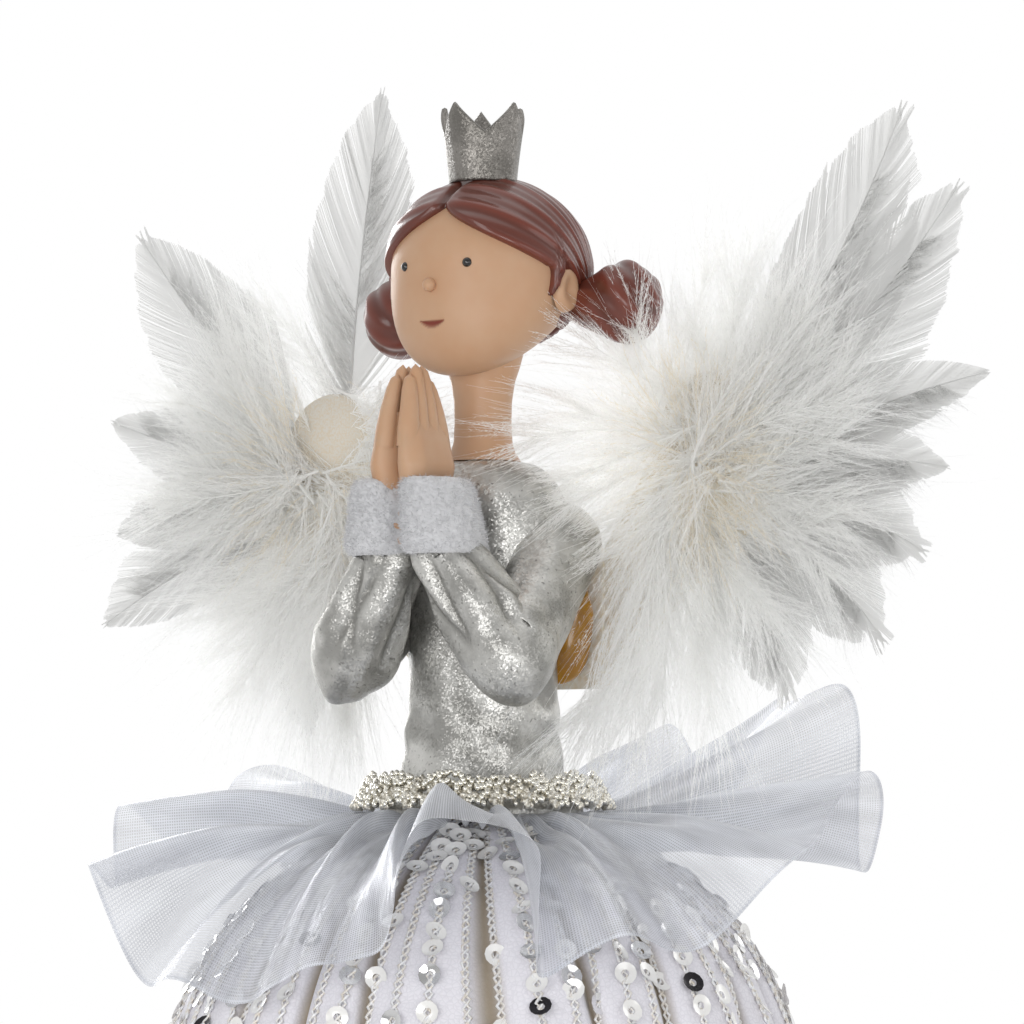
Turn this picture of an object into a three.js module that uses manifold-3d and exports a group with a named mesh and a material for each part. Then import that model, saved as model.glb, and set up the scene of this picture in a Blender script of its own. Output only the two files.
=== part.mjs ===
// Angel tree topper: a praying half-figure in painted resin on a card cone, with a pleated skirt, a gathered
// organza ruffle, a looped braid and feather wings. Millimetres, +Z up. The figure faces -Y and its left hand
// is at +X. The origin is the centre of the cone's mouth, on the surface that the topper stands on.
import * as THREE from "three";
import { mergeVertices } from "three/addons/utils/BufferGeometryUtils.js";
import Module from "manifold-3d";

const wasm = await Module();
wasm.setup();

// Fits
const seatGap = 0.3;

// Cone, lining and skirt
const coneHeight = 150;
const coneMouthRadius = 48;
const coneTopRadius = 14;
const coneWall = 1.5;
const skirtTopRadius = 16.5;
const skirtSwell = 42;
const skirtFlare = 20;
const skirtRoundness = 8.5;
const skirtCloth = 0.9;
const skirtHemLift = 0.5;
const skirtTopDrop = 1.1;
const pleatCount = 20;
const pleatDepth = 2.4;
const liningCloth = 0.8;
const liningHemLift = 4;

// Torso, measured up from the underside of its flange
const flangeRadius = 20;
const flangeThickness = 1.6;
const flangeFlare = 4.5;
const spigotLength = 10;
const waistHalfWidth = 16;
const waistHalfDepth = 13;
const shoulderHalfWidth = 19.6;
const shoulderHalfDepth = 12.8;
const torsoHeight = 70.5;
const shoulderDrop = 15;
const bustLength = 28;
const collarRadius = 8;
const neckSocketRadius = 5.3;
const neckSocketDepth = 8;

// Arms and hands
const shoulderInset = 3;
const shoulderSink = 1.2;
const shoulderBack = 3;
const sleeveRadius = 8.4;
const elbowOut = 21.5;
const elbowForward = 15;
const elbowDrop = 24.3;
const wristOut = 6.4;
const wristForward = 22.5;
const wristRise = 21;
const wristSleeveRadius = 7;
const cuffHeight = 15;
const cuffLean = 1.4;
const cuffBottomHalfWidth = 7;
const cuffTopHalfWidth = 5.6;
const cuffBottomHalfDepth = 10;
const cuffTopHalfDepth = 8.6;
const cuffHoleHalfWidth = 3.5;
const cuffHoleHalfDepth = 7.2;
const cuffHoleOut = 4.9;
const handHeight = 22.5;
const handThickness = 6.3;
const handHalfWidth = 8.2;
const fingerCount = 4;
const fingerGroove = 0.16;

// Head and hair
const neckRise = 38.6;
const neckRadius = 5.7;
const headHalfWidth = 19.4;
const headHalfDepth = 19.4;
const chinDrop = 21.6;
const skullRise = 17.2;
const headSetBack = 1.6;
const chinForward = 10.4;
const noseRadius = 1.35;
const noseLatitude = -11;
const eyeRadius = 1.15;
const eyeSpread = 23;
const eyeLatitude = 0;
const eyeSink = 0.5;
const mouthWidth = 5;
const mouthThickness = 0.7;
const mouthDepth = 0.7;
const mouthLatitude = -33;
const earHalfWidth = 2.4;
const earHalfDepth = 3.4;
const earHalfHeight = 5;
const earAngle = 92;
const earLatitude = -13;
const hairThickness = 1.5;
const hairlineFront = 43;
const hairlineTemple = -1;
const hairlineNape = -44;
const templeAngle = 72;
const partingDepth = 0.7;
const bunRadius = 7.4;
const bunStretch = 1.1;
const bunReach = 11.2;
const bunAngle = 111;
const bunLatitude = -19;
const bunStemRadius = 4.2;

// Crown
const crownBaseRadius = 7;
const crownTipRadius = 8.8;
const crownHeight = 15.5;
const crownValley = 9.6;
const crownWall = 1.1;
const crownPoints = 5;
const crownFrontSpread = 90;
const crownTurn = 38;

// Ruffle and braid
const ruffleWidth = 58;
const ruffleCloth = 0.6;
const ruffleSteps = 104;
const ruffleArch = 6.5;
const ruffleArchAngle = 31;
const ruffleArchSpread = 9;
const ruffleArchFoot = 12;
const ruffleCurve = 1.7;
const ruffleDroopCurve = 0.01;
const braidHalfWidth = 4;
const braidHalfThickness = 1.1;
const braidLoops = 30;
const braidLoopDepth = 0.7;
const braidSetOut = 2.6;
const braidRise = 3.95;

// Wings: out is the distance from the middle, up the height above the wing's foot, forward towards the face
const wingHang = 67;
const wingBack = 14.5;
const wingLean = 0.03;
const wingCard = 1.2;
const bendLine = 20;
const bendGap = 0.5;
const tabStart = 7.5;
const tabBottom = 22;
const tabTop = 50;
const hubOut = 46;
const hubUp = 64;
const hubRadius = 15;
const feltRadius = 11;
const feltThickness = 1.5;
const feltUp = 9;
const quillThickness = 0.7;
const plumeThickness = 3;
const rootPeg = 1.4;
const glueHalfWidth = 6.5;
const glueHalfHeight = 13;

const quillPitch = quillThickness + seatGap;
const plumePitch = plumeThickness + seatGap;
const cardFace = wingCard / 2 + seatGap;
const feltFace = cardFace + feltThickness + seatGap;
const waist = coneHeight + seatGap;
const shoulderRise = torsoHeight - shoulderDrop;
const bustStart = shoulderRise - bustLength;
const collar = waist + torsoHeight;
const wingFoot = collar - wingHang;
const headHeight = collar + neckRise;
const degree = Math.PI / 180;
const point = (x, y, z) => new THREE.Vector3(x, y, z);

// Faces wound so that the enclosed volume is positive.
function outward(geometry) {
  const plain = geometry.clone();
  plain.deleteAttribute("normal");
  plain.deleteAttribute("uv");
  const merged = mergeVertices(plain, 1e-4);
  const at = merged.attributes.position;
  const index = merged.index.array;
  const corners = [0, 1, 2].map(() => new THREE.Vector3());
  const kept = [];
  let volume = 0;
  for (let i = 0; i < index.length; i += 3) {
    const face = [index[i], index[i + 1], index[i + 2]];
    if (face[0] === face[1] || face[1] === face[2] || face[2] === face[0]) continue;
    face.forEach((vertex, k) => corners[k].fromBufferAttribute(at, vertex));
    volume += corners[0].dot(corners[1].clone().cross(corners[2]));
    kept.push(face);
  }
  merged.setIndex(kept.flatMap((face) => (volume < 0 ? [face[0], face[2], face[1]] : face)));
  return merged;
}

function skin(points, faces) {
  const geometry = new THREE.BufferGeometry();
  geometry.setFromPoints(points);
  geometry.setIndex(faces);
  return outward(geometry);
}

// Quads between each ring of points and the next.
function ringQuads(rings, closed) {
  const sides = rings[0].length;
  const last = closed ? rings.length : rings.length - 1;
  const faces = [];
  for (let i = 0; i < last; i++) {
    const here = i * sides;
    const next = ((i + 1) % rings.length) * sides;
    for (let j = 0; j < sides; j++) {
      const k = (j + 1) % sides;
      faces.push(here + j, next + j, next + k, here + j, next + k, here + k);
    }
  }
  return faces;
}

function middle(ring) {
  const sum = ring.reduce((total, p) => total.add(p), new THREE.Vector3());
  return sum.divideScalar(ring.length);
}

// A solid lofted through rings of points, each end closed by a fan to a tip.
function loft(rings, startTip = middle(rings[0]), endTip = middle(rings[rings.length - 1])) {
  const sides = rings[0].length;
  const points = [...rings.flat(), startTip, endTip];
  const faces = ringQuads(rings, false);
  const lastRing = (rings.length - 1) * sides;
  for (let j = 0; j < sides; j++) {
    const k = (j + 1) % sides;
    faces.push(points.length - 2, j, k);
    faces.push(points.length - 1, lastRing + k, lastRing + j);
  }
  return skin(points, faces);
}

// A solid ring: closed sections placed round a closed path.
function band(sections) {
  return skin(sections.flat(), ringQuads(sections, true));
}

function solid(geometry) {
  const closed = outward(geometry);
  const vertProperties = new Float32Array(closed.attributes.position.array);
  const triVerts = new Uint32Array(closed.index.array);
  return new wasm.Manifold(new wasm.Mesh({ numProp: 3, vertProperties, triVerts }));
}

function shapeOf(manifold) {
  const mesh = manifold.getMesh();
  const geometry = new THREE.BufferGeometry();
  geometry.setAttribute("position", new THREE.BufferAttribute(mesh.vertProperties.slice(), 3));
  geometry.setIndex(new THREE.BufferAttribute(mesh.triVerts.slice(), 1));
  return geometry;
}

function ellipsoid(centre, halfX, halfY, halfZ, across = 16, up = 10) {
  const geometry = new THREE.SphereGeometry(1, across, up);
  geometry.rotateX(Math.PI / 2);
  geometry.scale(halfX, halfY, halfZ);
  geometry.translate(centre.x, centre.y, centre.z);
  return geometry;
}

function box(low, high) {
  const size = high.clone().sub(low);
  const geometry = new THREE.BoxGeometry(size.x, size.y, size.z);
  geometry.translate((low.x + high.x) / 2, (low.y + high.y) / 2, (low.z + high.z) / 2);
  return geometry;
}

// A profile of [radius, height] pairs turned about Z.
function turned(profile, segments) {
  const geometry = new THREE.LatheGeometry(profile.map(([r, z]) => new THREE.Vector2(r, z)), segments);
  geometry.rotateX(Math.PI / 2);
  return outward(geometry);
}

function ellipseRing(centre, halfX, halfY, sides) {
  const ring = [];
  for (let j = 0; j < sides; j++) {
    const angle = (2 * Math.PI * j) / sides;
    ring.push(point(centre.x + halfX * Math.sin(angle), centre.y - halfY * Math.cos(angle), centre.z));
  }
  return ring;
}

const smooth = (t) => t * t * (3 - 2 * t);
const mix = (a, b, t) => a + (b - a) * t;
const clamp01 = (t) => Math.min(1, Math.max(0, t));

// Cone and skirt

function treeCone() {
  const slope = (coneMouthRadius - coneTopRadius) / coneHeight;
  const wall = coneWall * Math.hypot(1, slope);
  const profile = [
    [coneMouthRadius, 0],
    [coneTopRadius, coneHeight],
    [coneTopRadius - wall, coneHeight],
    [coneMouthRadius - wall, 0],
    [coneMouthRadius, 0],
  ];
  return turned(profile, 32);
}

// The bell of the skirt at depth s below the waist, from 0 to 1: radius, height and outward normal.
function bell(s) {
  const fall = Math.exp(-skirtRoundness * s);
  const radius = skirtTopRadius + skirtSwell * (1 - fall) + skirtFlare * s;
  const spread = skirtSwell * skirtRoundness * fall + skirtFlare;
  const length = Math.hypot(spread, coneHeight);
  return { radius, height: coneHeight * (1 - s), out: coneHeight / length, up: spread / length };
}

function bellPoint(s, offset) {
  const at = bell(s);
  return [at.radius + offset * at.out, at.height + offset * at.up];
}

// Pleats are shallow where the cloth is gathered and deep at the hem.
const pleatAt = (s) => pleatDepth * (0.25 + 0.75 * Math.sqrt(s));

// Depths of a cloth's rows between its gathered top and its hem, closer together at the top.
function clothRows(top, hem, rows) {
  return Array.from({ length: rows + 1 }, (_, i) => mix(top, hem, Math.pow(i / rows, 2)));
}

function skirt() {
  const rows = clothRows(skirtTopDrop / coneHeight, 1 - skirtHemLift / coneHeight, 5);
  const sections = [];
  const steps = pleatCount * 4;
  for (let i = 0; i < steps; i++) {
    const angle = (2 * Math.PI * i) / steps;
    const fold = Math.cos(pleatCount * angle);
    const place = (s, side) => {
      const [r, z] = bellPoint(s, pleatAt(s) * fold + (side * skirtCloth) / 2);
      return point(r * Math.sin(angle), -r * Math.cos(angle), Math.max(z, 0));
    };
    sections.push([...rows.map((s) => place(s, 1)), ...rows.map((s) => place(s, -1)).reverse()]);
  }
  return band(sections);
}

function skirtLining() {
  const rows = clothRows(skirtTopDrop / coneHeight, 1 - liningHemLift / coneHeight, 5);
  const outer = (s) => -(pleatAt(s) + skirtCloth / 2 + seatGap);
  const face = rows.map((s) => bellPoint(s, outer(s)));
  const back = rows.map((s) => bellPoint(s, outer(s) - liningCloth)).reverse();
  return turned([...face, ...back, face[0]], 28);
}

// Torso, arms and hands

function torsoHalf(height, waistSize, shoulderSize) {
  if (height > shoulderRise) {
    const slope = (height - shoulderRise) / shoulderDrop;
    return collarRadius + (shoulderSize - collarRadius) * Math.sqrt(1 - Math.min(1, slope * slope));
  }
  const bust = smooth(clamp01((height - bustStart) / bustLength));
  const flare = Math.exp(-Math.max(0, height - flangeThickness) / flangeFlare);
  return mix(waistSize, shoulderSize, bust) + (flangeRadius - waistSize) * flare;
}

function torsoBody(grow, sides = 24) {
  const heights = [0, flangeThickness, 4, 8, 15, 24, 33, 42, shoulderRise];
  const slopes = [0.4, 0.72, 0.92, 1].map((q) => mix(shoulderRise, torsoHeight, q));
  const rings = [...heights, ...slopes].map((h) => {
    const halfX = torsoHalf(h, waistHalfWidth, shoulderHalfWidth) + grow;
    const halfY = torsoHalf(h, waistHalfDepth, shoulderHalfDepth) + grow;
    return ellipseRing(point(0, 0, waist + h), halfX, halfY, sides);
  });
  return loft(rings);
}

function torso() {
  const slope = (coneMouthRadius - coneTopRadius) / coneHeight;
  const spigotRadius = coneTopRadius - coneWall * Math.hypot(1, slope) - seatGap;
  const spigot = turned(
    [
      [0, waist - spigotLength],
      [spigotRadius, waist - spigotLength],
      [spigotRadius, waist + flangeThickness / 2],
      [0, waist + flangeThickness / 2],
    ],
    24,
  );
  const socket = turned(
    [
      [0, collar - neckSocketDepth],
      [neckSocketRadius, collar - neckSocketDepth],
      [neckSocketRadius, collar + 1],
      [0, collar + 1],
    ],
    16,
  );
  return shapeOf(solid(torsoBody(0)).add(solid(spigot)).subtract(solid(socket)));
}

// A round limb between two points, with its radii spread evenly along it and both ends domed.
function limb(start, end, radii, sides = 12) {
  const along = end.clone().sub(start);
  const length = along.length();
  along.normalize();
  const across = new THREE.Vector3(1, 0, 0).cross(along).normalize();
  const third = along.clone().cross(across);
  const ringAt = (distance, radius) => {
    const ring = [];
    for (let j = 0; j < sides; j++) {
      const angle = (2 * Math.PI * j) / sides;
      const p = start.clone().addScaledVector(along, distance);
      p.addScaledVector(across, radius * Math.cos(angle)).addScaledVector(third, radius * Math.sin(angle));
      ring.push(p);
    }
    return ring;
  };
  const first = radii[0];
  const last = radii[radii.length - 1];
  const rings = [ringAt(-0.6 * first, 0.75 * first)];
  radii.forEach((radius, i) => rings.push(ringAt((length * i) / (radii.length - 1), radius)));
  rings.push(ringAt(length + 0.6 * last, 0.75 * last));
  const startTip = start.clone().addScaledVector(along, -0.9 * first);
  const endTip = end.clone().addScaledVector(along, 0.9 * last);
  return loft(rings, startTip, endTip);
}

const shoulderHeight = waist + shoulderRise - shoulderSink;
const elbowHeight = shoulderHeight - elbowDrop;
const wristHeight = elbowHeight + wristRise;
const cuffTop = wristHeight + cuffHeight;
const handTop = cuffTop + handHeight;
const farAway = 400;

// The half of space across the middle of the figure, kept clear by half a gap.
function otherSide(side) {
  const edge = (side * seatGap) / 2;
  const low = point(Math.min(edge, -side * farAway), -farAway, -farAway);
  const high = point(Math.max(edge, -side * farAway), farAway, farAway);
  return solid(box(low, high));
}

const elbowPoint = (side) => point(side * elbowOut, -elbowForward, elbowHeight);

function upperArm(side, grow) {
  const shoulder = point(side * (shoulderHalfWidth - shoulderInset), shoulderBack, shoulderHeight);
  const radius = sleeveRadius + grow;
  return limb(shoulder, elbowPoint(side), [radius, radius, radius]);
}

function sleeve(side) {
  const elbow = elbowPoint(side);
  const wrist = point(side * wristOut, -wristForward, wristHeight);
  const upper = upperArm(side, 0);
  const fore = limb(elbow, wrist, [sleeveRadius, sleeveRadius * 1.04, wristSleeveRadius]);
  const cuffFloor = point(-farAway, -farAway, wristHeight - seatGap);
  const above = solid(box(cuffFloor, point(farAway, -elbowForward + sleeveRadius / 2, farAway)));
  const foreCut = solid(fore).subtract(above);
  const arm = solid(upper).add(foreCut).subtract(solid(torsoBody(seatGap)));
  return shapeOf(arm.subtract(otherSide(side)));
}

const cuffMiddle = (t) => -wristForward - cuffLean * t;

function cuff(side) {
  const sides = 20;
  const sections = [];
  for (let i = 0; i < sides; i++) {
    const angle = (2 * Math.PI * i) / sides;
    const place = (halfX, halfY, out, t) => {
      const x = out + halfX * Math.sin(angle);
      return point(side * x, cuffMiddle(t) - halfY * Math.cos(angle), mix(wristHeight, cuffTop, t));
    };
    const wall = (t, swell) => {
      const halfX = mix(cuffBottomHalfWidth, cuffTopHalfWidth, t) + swell;
      const halfY = mix(cuffBottomHalfDepth, cuffTopHalfDepth, t) + swell;
      return place(halfX, halfY, halfX - swell, t);
    };
    const hole = (t) => place(cuffHoleHalfWidth, cuffHoleHalfDepth, cuffHoleOut, t);
    const outside = [wall(0, -0.9), wall(0.1, 0), wall(0.5, 0.3), wall(0.9, 0), wall(1, -0.9)];
    sections.push([...outside, hole(1), hole(0)]);
  }
  return shapeOf(solid(band(sections)).subtract(otherSide(side)));
}

// One hand, flat on its palm side, with the fingers' grooves on its back running out into the palm.
function hand(side) {
  const sides = 28;
  const wristTop = cuffTop + 1.5;
  const ringAt = (z, halfWidth, thickness, middleY, groove, inset) => {
    const ring = [];
    for (let j = 0; j < sides; j++) {
      const angle = (2 * Math.PI * j) / sides;
      const across = Math.cos(angle);
      const back = Math.sin(angle);
      const finger = Math.pow(Math.abs(Math.cos((Math.PI * fingerCount * (across + 1)) / 2)), 6);
      const edge = 0.62 * Math.abs(across);
      const rounded = back > 0 ? Math.pow(back, 0.7) * (1 - groove * finger * (1 - edge)) : 0.08 * back;
      const x = inset + 0.08 * thickness + rounded * thickness * 0.92;
      ring.push(point(side * x, middleY + halfWidth * across, z));
    }
    return ring;
  };
  const wristRing = (z) => {
    const halfX = cuffHoleHalfWidth - seatGap;
    const halfY = cuffHoleHalfDepth - seatGap;
    const ring = [];
    for (let j = 0; j < sides; j++) {
      const angle = (2 * Math.PI * j) / sides;
      const t = clamp01((z - wristHeight) / cuffHeight);
      const x = cuffHoleOut + halfX * Math.sin(angle);
      ring.push(point(side * x, cuffMiddle(t) + halfY * Math.cos(angle), z));
    }
    return ring;
  };
  const lean = cuffMiddle(1);
  const inset = seatGap / 2;
  const rings = [wristRing(wristHeight + seatGap), wristRing(cuffTop + seatGap)];
  const stations = [
    [0, 0.95, 1, 0],
    [0.2, 1, 1, 0.4],
    [0.42, 0.96, 0.92, 1],
    [0.62, 0.78, 0.78, 1],
    [0.8, 0.56, 0.64, 1],
    [0.93, 0.36, 0.48, 1],
    [0.98, 0.2, 0.3, 0.6],
  ];
  for (const [t, width, thickness, groove] of stations) {
    const z = mix(wristTop, handTop, t);
    const size = [handHalfWidth * width, handThickness * thickness];
    rings.push(ringAt(z, ...size, lean, groove * fingerGroove, inset));
  }
  return loft(rings);
}

// Head, hair and crown

// The head's surface at an angle round from the face and a latitude, both in degrees.
function headPoint(angle, latitude, grow) {
  const rise = Math.sin(latitude * degree);
  const level = Math.cos(latitude * degree);
  const below = Math.max(0, -rise);
  const halfX = (headHalfWidth + grow) * level;
  const halfY = (headHalfDepth + grow) * level * (1 - 0.14 * below);
  const middleY = headSetBack - chinForward * Math.pow(below, 1.45);
  const height = rise < 0 ? chinDrop + grow : skullRise + grow;
  const x = halfX * Math.sin(angle * degree);
  return point(x, middleY - halfY * Math.cos(angle * degree), headHeight + height * rise);
}

function headSkull(grow, sides = 24) {
  const rings = [-82, -68, -52, -36, -20, -6, 8, 24, 40, 56, 74].map((latitude) => {
    return Array.from({ length: sides }, (_, j) => headPoint((360 * j) / sides, latitude, grow));
  });
  return loft(rings, headPoint(0, -90, grow), headPoint(0, 90, grow));
}

function neck() {
  const plug = neckSocketRadius - seatGap;
  const base = collar + seatGap;
  return turned(
    [
      [0, collar - neckSocketDepth + seatGap],
      [plug, collar - neckSocketDepth + seatGap],
      [plug, base],
      [collarRadius - 0.4, base],
      [neckRadius + 0.9, base + 1.6],
      [neckRadius, base + 5],
      [neckRadius, base + 12],
      [neckRadius + 1.6, base + 17.5],
      [neckRadius + 2, headHeight - chinDrop * 0.6],
      [0, headHeight - chinDrop * 0.6],
    ],
    18,
  );
}

const eyeCentre = (side) => headPoint(side * eyeSpread, eyeLatitude, -eyeSink);

function ear(side, grow) {
  const seat = headPoint(side * earAngle, earLatitude, 0);
  return ellipsoid(seat, earHalfWidth + grow, earHalfDepth + grow, earHalfHeight + grow, 10, 8);
}

// A shallow smile: a crescent pressed into the face.
function mouth() {
  const lips = new THREE.Shape();
  lips.moveTo(-mouthWidth / 2, mouthThickness);
  lips.quadraticCurveTo(0, -mouthThickness, mouthWidth / 2, mouthThickness);
  lips.quadraticCurveTo(0, -mouthThickness * 3, -mouthWidth / 2, mouthThickness);
  const geometry = new THREE.ExtrudeGeometry(lips, { depth: 4, bevelEnabled: false, curveSegments: 5 });
  geometry.rotateX(Math.PI / 2);
  const seat = headPoint(0, mouthLatitude, 0);
  geometry.translate(seat.x, seat.y + mouthDepth, seat.z);
  return geometry;
}

function head() {
  let whole = solid(headSkull(0)).add(solid(neck()));
  const nose = headPoint(0, noseLatitude, noseRadius * 0.3);
  whole = whole.add(solid(ellipsoid(nose, noseRadius, noseRadius, noseRadius, 8, 6)));
  for (const side of [1, -1]) {
    const bore = eyeRadius + seatGap;
    const socket = ellipsoid(eyeCentre(side), bore, bore, bore, 8, 6);
    whole = whole.add(solid(ear(side, 0))).subtract(solid(socket));
  }
  return shapeOf(whole.subtract(solid(mouth())));
}

function eye(side) {
  return ellipsoid(eyeCentre(side), eyeRadius, eyeRadius, eyeRadius, 8, 6);
}

// The hairline's latitude: high at the parting, down past the temples to the nape.
function hairline(angle) {
  const round = Math.abs(angle > 180 ? angle - 360 : angle);
  if (round < templeAngle) return mix(hairlineFront, hairlineTemple, Math.pow(round / templeAngle, 0.8));
  return mix(hairlineTemple, hairlineNape, smooth((round - templeAngle) / (180 - templeAngle)));
}

function hairShell(grow) {
  const sides = 28;
  const overrun = 1 + (2 * grow) / headHalfWidth;
  const ringAt = (share, lift) => {
    return Array.from({ length: sides }, (_, j) => {
      const angle = (360 * j) / sides;
      const parting = j === 0 ? partingDepth * share : 0;
      const latitude = mix(90, hairline(angle), share * overrun);
      return headPoint(angle, latitude, lift - (lift > seatGap ? parting : 0));
    });
  };
  const full = seatGap + hairThickness + grow;
  const outer = [0.2, 0.4, 0.58, 0.76, 0.92].map((share) => ringAt(share, full));
  const edge = [ringAt(1, full - hairThickness * 0.5)];
  const inner = [1, 0.75, 0.5, 0.25].map((share) => ringAt(share, -seatGap - grow));
  return loft([...outer, ...edge, ...inner], headPoint(0, 90, full), headPoint(0, 90, -seatGap - grow));
}

function hair() {
  let cap = solid(hairShell(0)).subtract(solid(headSkull(seatGap)));
  for (const side of [1, -1]) cap = cap.subtract(solid(ear(side, seatGap)));
  return shapeOf(cap);
}

function bun(side) {
  const root = headPoint(side * bunAngle, bunLatitude, 0);
  const away = point(side * Math.sin(bunAngle * degree), -Math.cos(bunAngle * degree), 0);
  const centre = root.clone().addScaledVector(away, bunReach);
  const roll = solid(ellipsoid(centre, bunRadius, bunRadius, bunRadius * bunStretch, 16, 10));
  const stem = solid(limb(root, centre, [bunStemRadius, bunStemRadius, bunStemRadius], 10));
  let whole = roll.add(stem).subtract(solid(headSkull(seatGap))).subtract(solid(hairShell(seatGap)));
  whole = whole.subtract(solid(ear(side, seatGap)));
  return shapeOf(whole);
}

// Five petals with their creases between them, the widest pair of points at the front.
function crown() {
  const seat = headPoint(0, 90, seatGap + hairThickness).z;
  const top = headHeight + skullRise + hairThickness + seatGap;
  const dip = crownBaseRadius / (headHalfWidth + hairThickness);
  const foot = headHeight + (seat - headHeight) * Math.sqrt(1 - dip * dip) - seatGap;
  const spread = (360 - crownFrontSpread) / (crownPoints - 1);
  const widths = [crownFrontSpread, ...Array(crownPoints - 1).fill(spread)];
  const stepsPerPoint = 6;
  const sections = [];
  let start = crownTurn - crownFrontSpread / 2;
  for (const width of widths) {
    for (let i = 0; i < stepsPerPoint; i++) {
      const share = i / stepsPerPoint;
      const angle = (start + width * share) * degree;
      const tip = Math.pow(Math.abs(2 * share - 1), 1.1);
      const petal = 0.5 * Math.cos(2 * Math.PI * share) - 0.5;
      const height = top - seat + mix(crownValley, crownHeight, tip);
      const place = (wall, share2) => {
        const r = mix(crownBaseRadius, crownTipRadius, share2) + petal * 0.6 - wall;
        return point(r * Math.sin(angle), -r * Math.cos(angle), foot + height * share2);
      };
      sections.push([place(0, 0), place(0, 0.5), place(0, 1), place(crownWall, 1), place(crownWall, 0)]);
    }
    start += width;
  }
  return shapeOf(solid(band(sections)).subtract(solid(hairShell(seatGap))));
}

// Ruffle and braid

// Places on the ruffle's outer edge as [angle from the front towards the left hand, rise over the waist].
const ruffleEdge = [
  [-176, 14], [-161, 5], [-146, 16], [-130, 7], [-113, 13], [-100, -3], [-86, -1], [-72, -6], [-58, -11],
  [-49, -17], [-40, -27], [-24, -36], [-13, -37], [-1, -32], [7, -28], [14, -27.5], [20, -27], [22.5, -19],
  [23.5, -10], [26, -2.5], [29.5, 0], [34.5, -1], [40.5, -6], [43, -10], [43.2, -17], [43.4, -23],
  [44.5, -29],
  [53, -27.5], [63, -23], [77, -19], [86.5, -11], [93, 0.5], [100, 7], [107, 6.5], [113, -0.5], [125, -9.5],
  [133, 4], [141, 22], [150, 29], [160, 21], [172, 10],
];

// The edge as a closed curve through those places, one ribbon's width from the waist.
function ruffleEdgePoints() {
  const start = flangeRadius + seatGap;
  const places = ruffleEdge.map(([angle, rise]) => {
    const r = start + Math.sqrt(ruffleWidth * ruffleWidth - rise * rise);
    return point(r * Math.sin(angle * degree), -r * Math.cos(angle * degree), rise);
  });
  const curve = new THREE.CatmullRomCurve3(places, true, "catmullrom", 0.5);
  return curve.getSpacedPoints(ruffleSteps).slice(0, -1);
}

// One gathered ribbon: even at the waist, following its edge's waves further out, with an arch at the front.
function ruffle() {
  const rows = Array.from({ length: 6 }, (_, i) => i / 5);
  const start = flangeRadius + seatGap;
  const edge = ruffleEdgePoints();
  const even = (i) => (2 * Math.PI * i) / ruffleSteps;
  const turns = [];
  for (const p of edge) {
    const turn = Math.atan2(p.x, -p.y);
    const before = turns.length ? turns[turns.length - 1] : turn;
    turns.push(turn + 2 * Math.PI * Math.round((before - turn) / (2 * Math.PI)));
  }
  const shift = turns.reduce((sum, turn, i) => sum + turn - even(i), 0) / ruffleSteps;
  const place = (i, v) => {
    const k = (i + ruffleSteps) % ruffleSteps;
    const turn = mix(even(k) + shift, turns[k], Math.pow(v, 0.75));
    const r = mix(start, Math.hypot(edge[k].x, edge[k].y), v);
    const off = (turns[k] / degree - ruffleArchAngle) / ruffleArchSpread;
    const arch = ruffleArch * Math.exp(-off * off) * clamp01(1 + edge[k].z / ruffleArchFoot);
    const power = ruffleCurve + ruffleDroopCurve * Math.max(0, -edge[k].z);
    const z = waist + ruffleCloth / 2 + edge[k].z * Math.pow(v, power) + arch * Math.pow(4 * v * (1 - v), 2);
    return point(r * Math.sin(turn), -r * Math.cos(turn), z);
  };
  const faced = (i, v, side) => {
    const round = place(i + 1, v).sub(place(i - 1, v));
    const outward = place(i, Math.min(1, v + 0.05)).sub(place(i, Math.max(0, v - 0.05)));
    const normal = v === 0 ? point(0, 0, 1) : outward.cross(round).normalize();
    if (normal.z < 0) normal.negate();
    return place(i, v).addScaledVector(normal, (side * ruffleCloth) / 2);
  };
  const sections = [];
  for (let i = 0; i < ruffleSteps; i++) {
    sections.push([...rows.map((v) => faced(i, v, 1)), ...rows.map((v) => faced(i, v, -1)).reverse()]);
  }
  return band(sections);
}

function waistBraid() {
  const steps = braidLoops * 2;
  const radius = flangeRadius + braidSetOut;
  const height = waist + ruffleCloth + braidRise;
  const sections = [];
  for (let i = 0; i < steps; i++) {
    const angle = (2 * Math.PI * i) / steps;
    const reach = braidHalfWidth + (i % 2 ? -braidLoopDepth : 0);
    const place = (along, through) => {
      const r = radius + (along + through) * Math.SQRT1_2;
      const z = height + (through - along) * Math.SQRT1_2;
      return point(r * Math.sin(angle), -r * Math.cos(angle), z);
    };
    const thick = braidHalfThickness;
    sections.push([
      place(reach, 0),
      place(reach * 0.5, thick),
      place(-reach * 0.5, thick),
      place(-reach, 0),
      place(-reach * 0.5, -thick),
      place(reach * 0.5, -thick),
    ]);
  }
  return band(sections);
}

// Wings

const wingPoint = (side, out, up, forward) =>
  point(side * out, wingBack - wingLean * out - forward, wingFoot + up);

// A plate in the wing's plane from an outline of [out, up] pairs, between two forward distances.
function wingPlate(side, outline, back, front) {
  const rings = [back, front].map((forward) => outline.map(([out, up]) => wingPoint(side, out, up, forward)));
  return loft(rings);
}

function wingTab(side) {
  const edge = bendLine - bendGap / 2;
  const outline = [
    [tabStart, tabBottom],
    [edge, tabBottom],
    [edge, tabTop],
    [tabStart, tabTop],
  ];
  return wingPlate(side, outline, -wingCard / 2, wingCard / 2);
}

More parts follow.
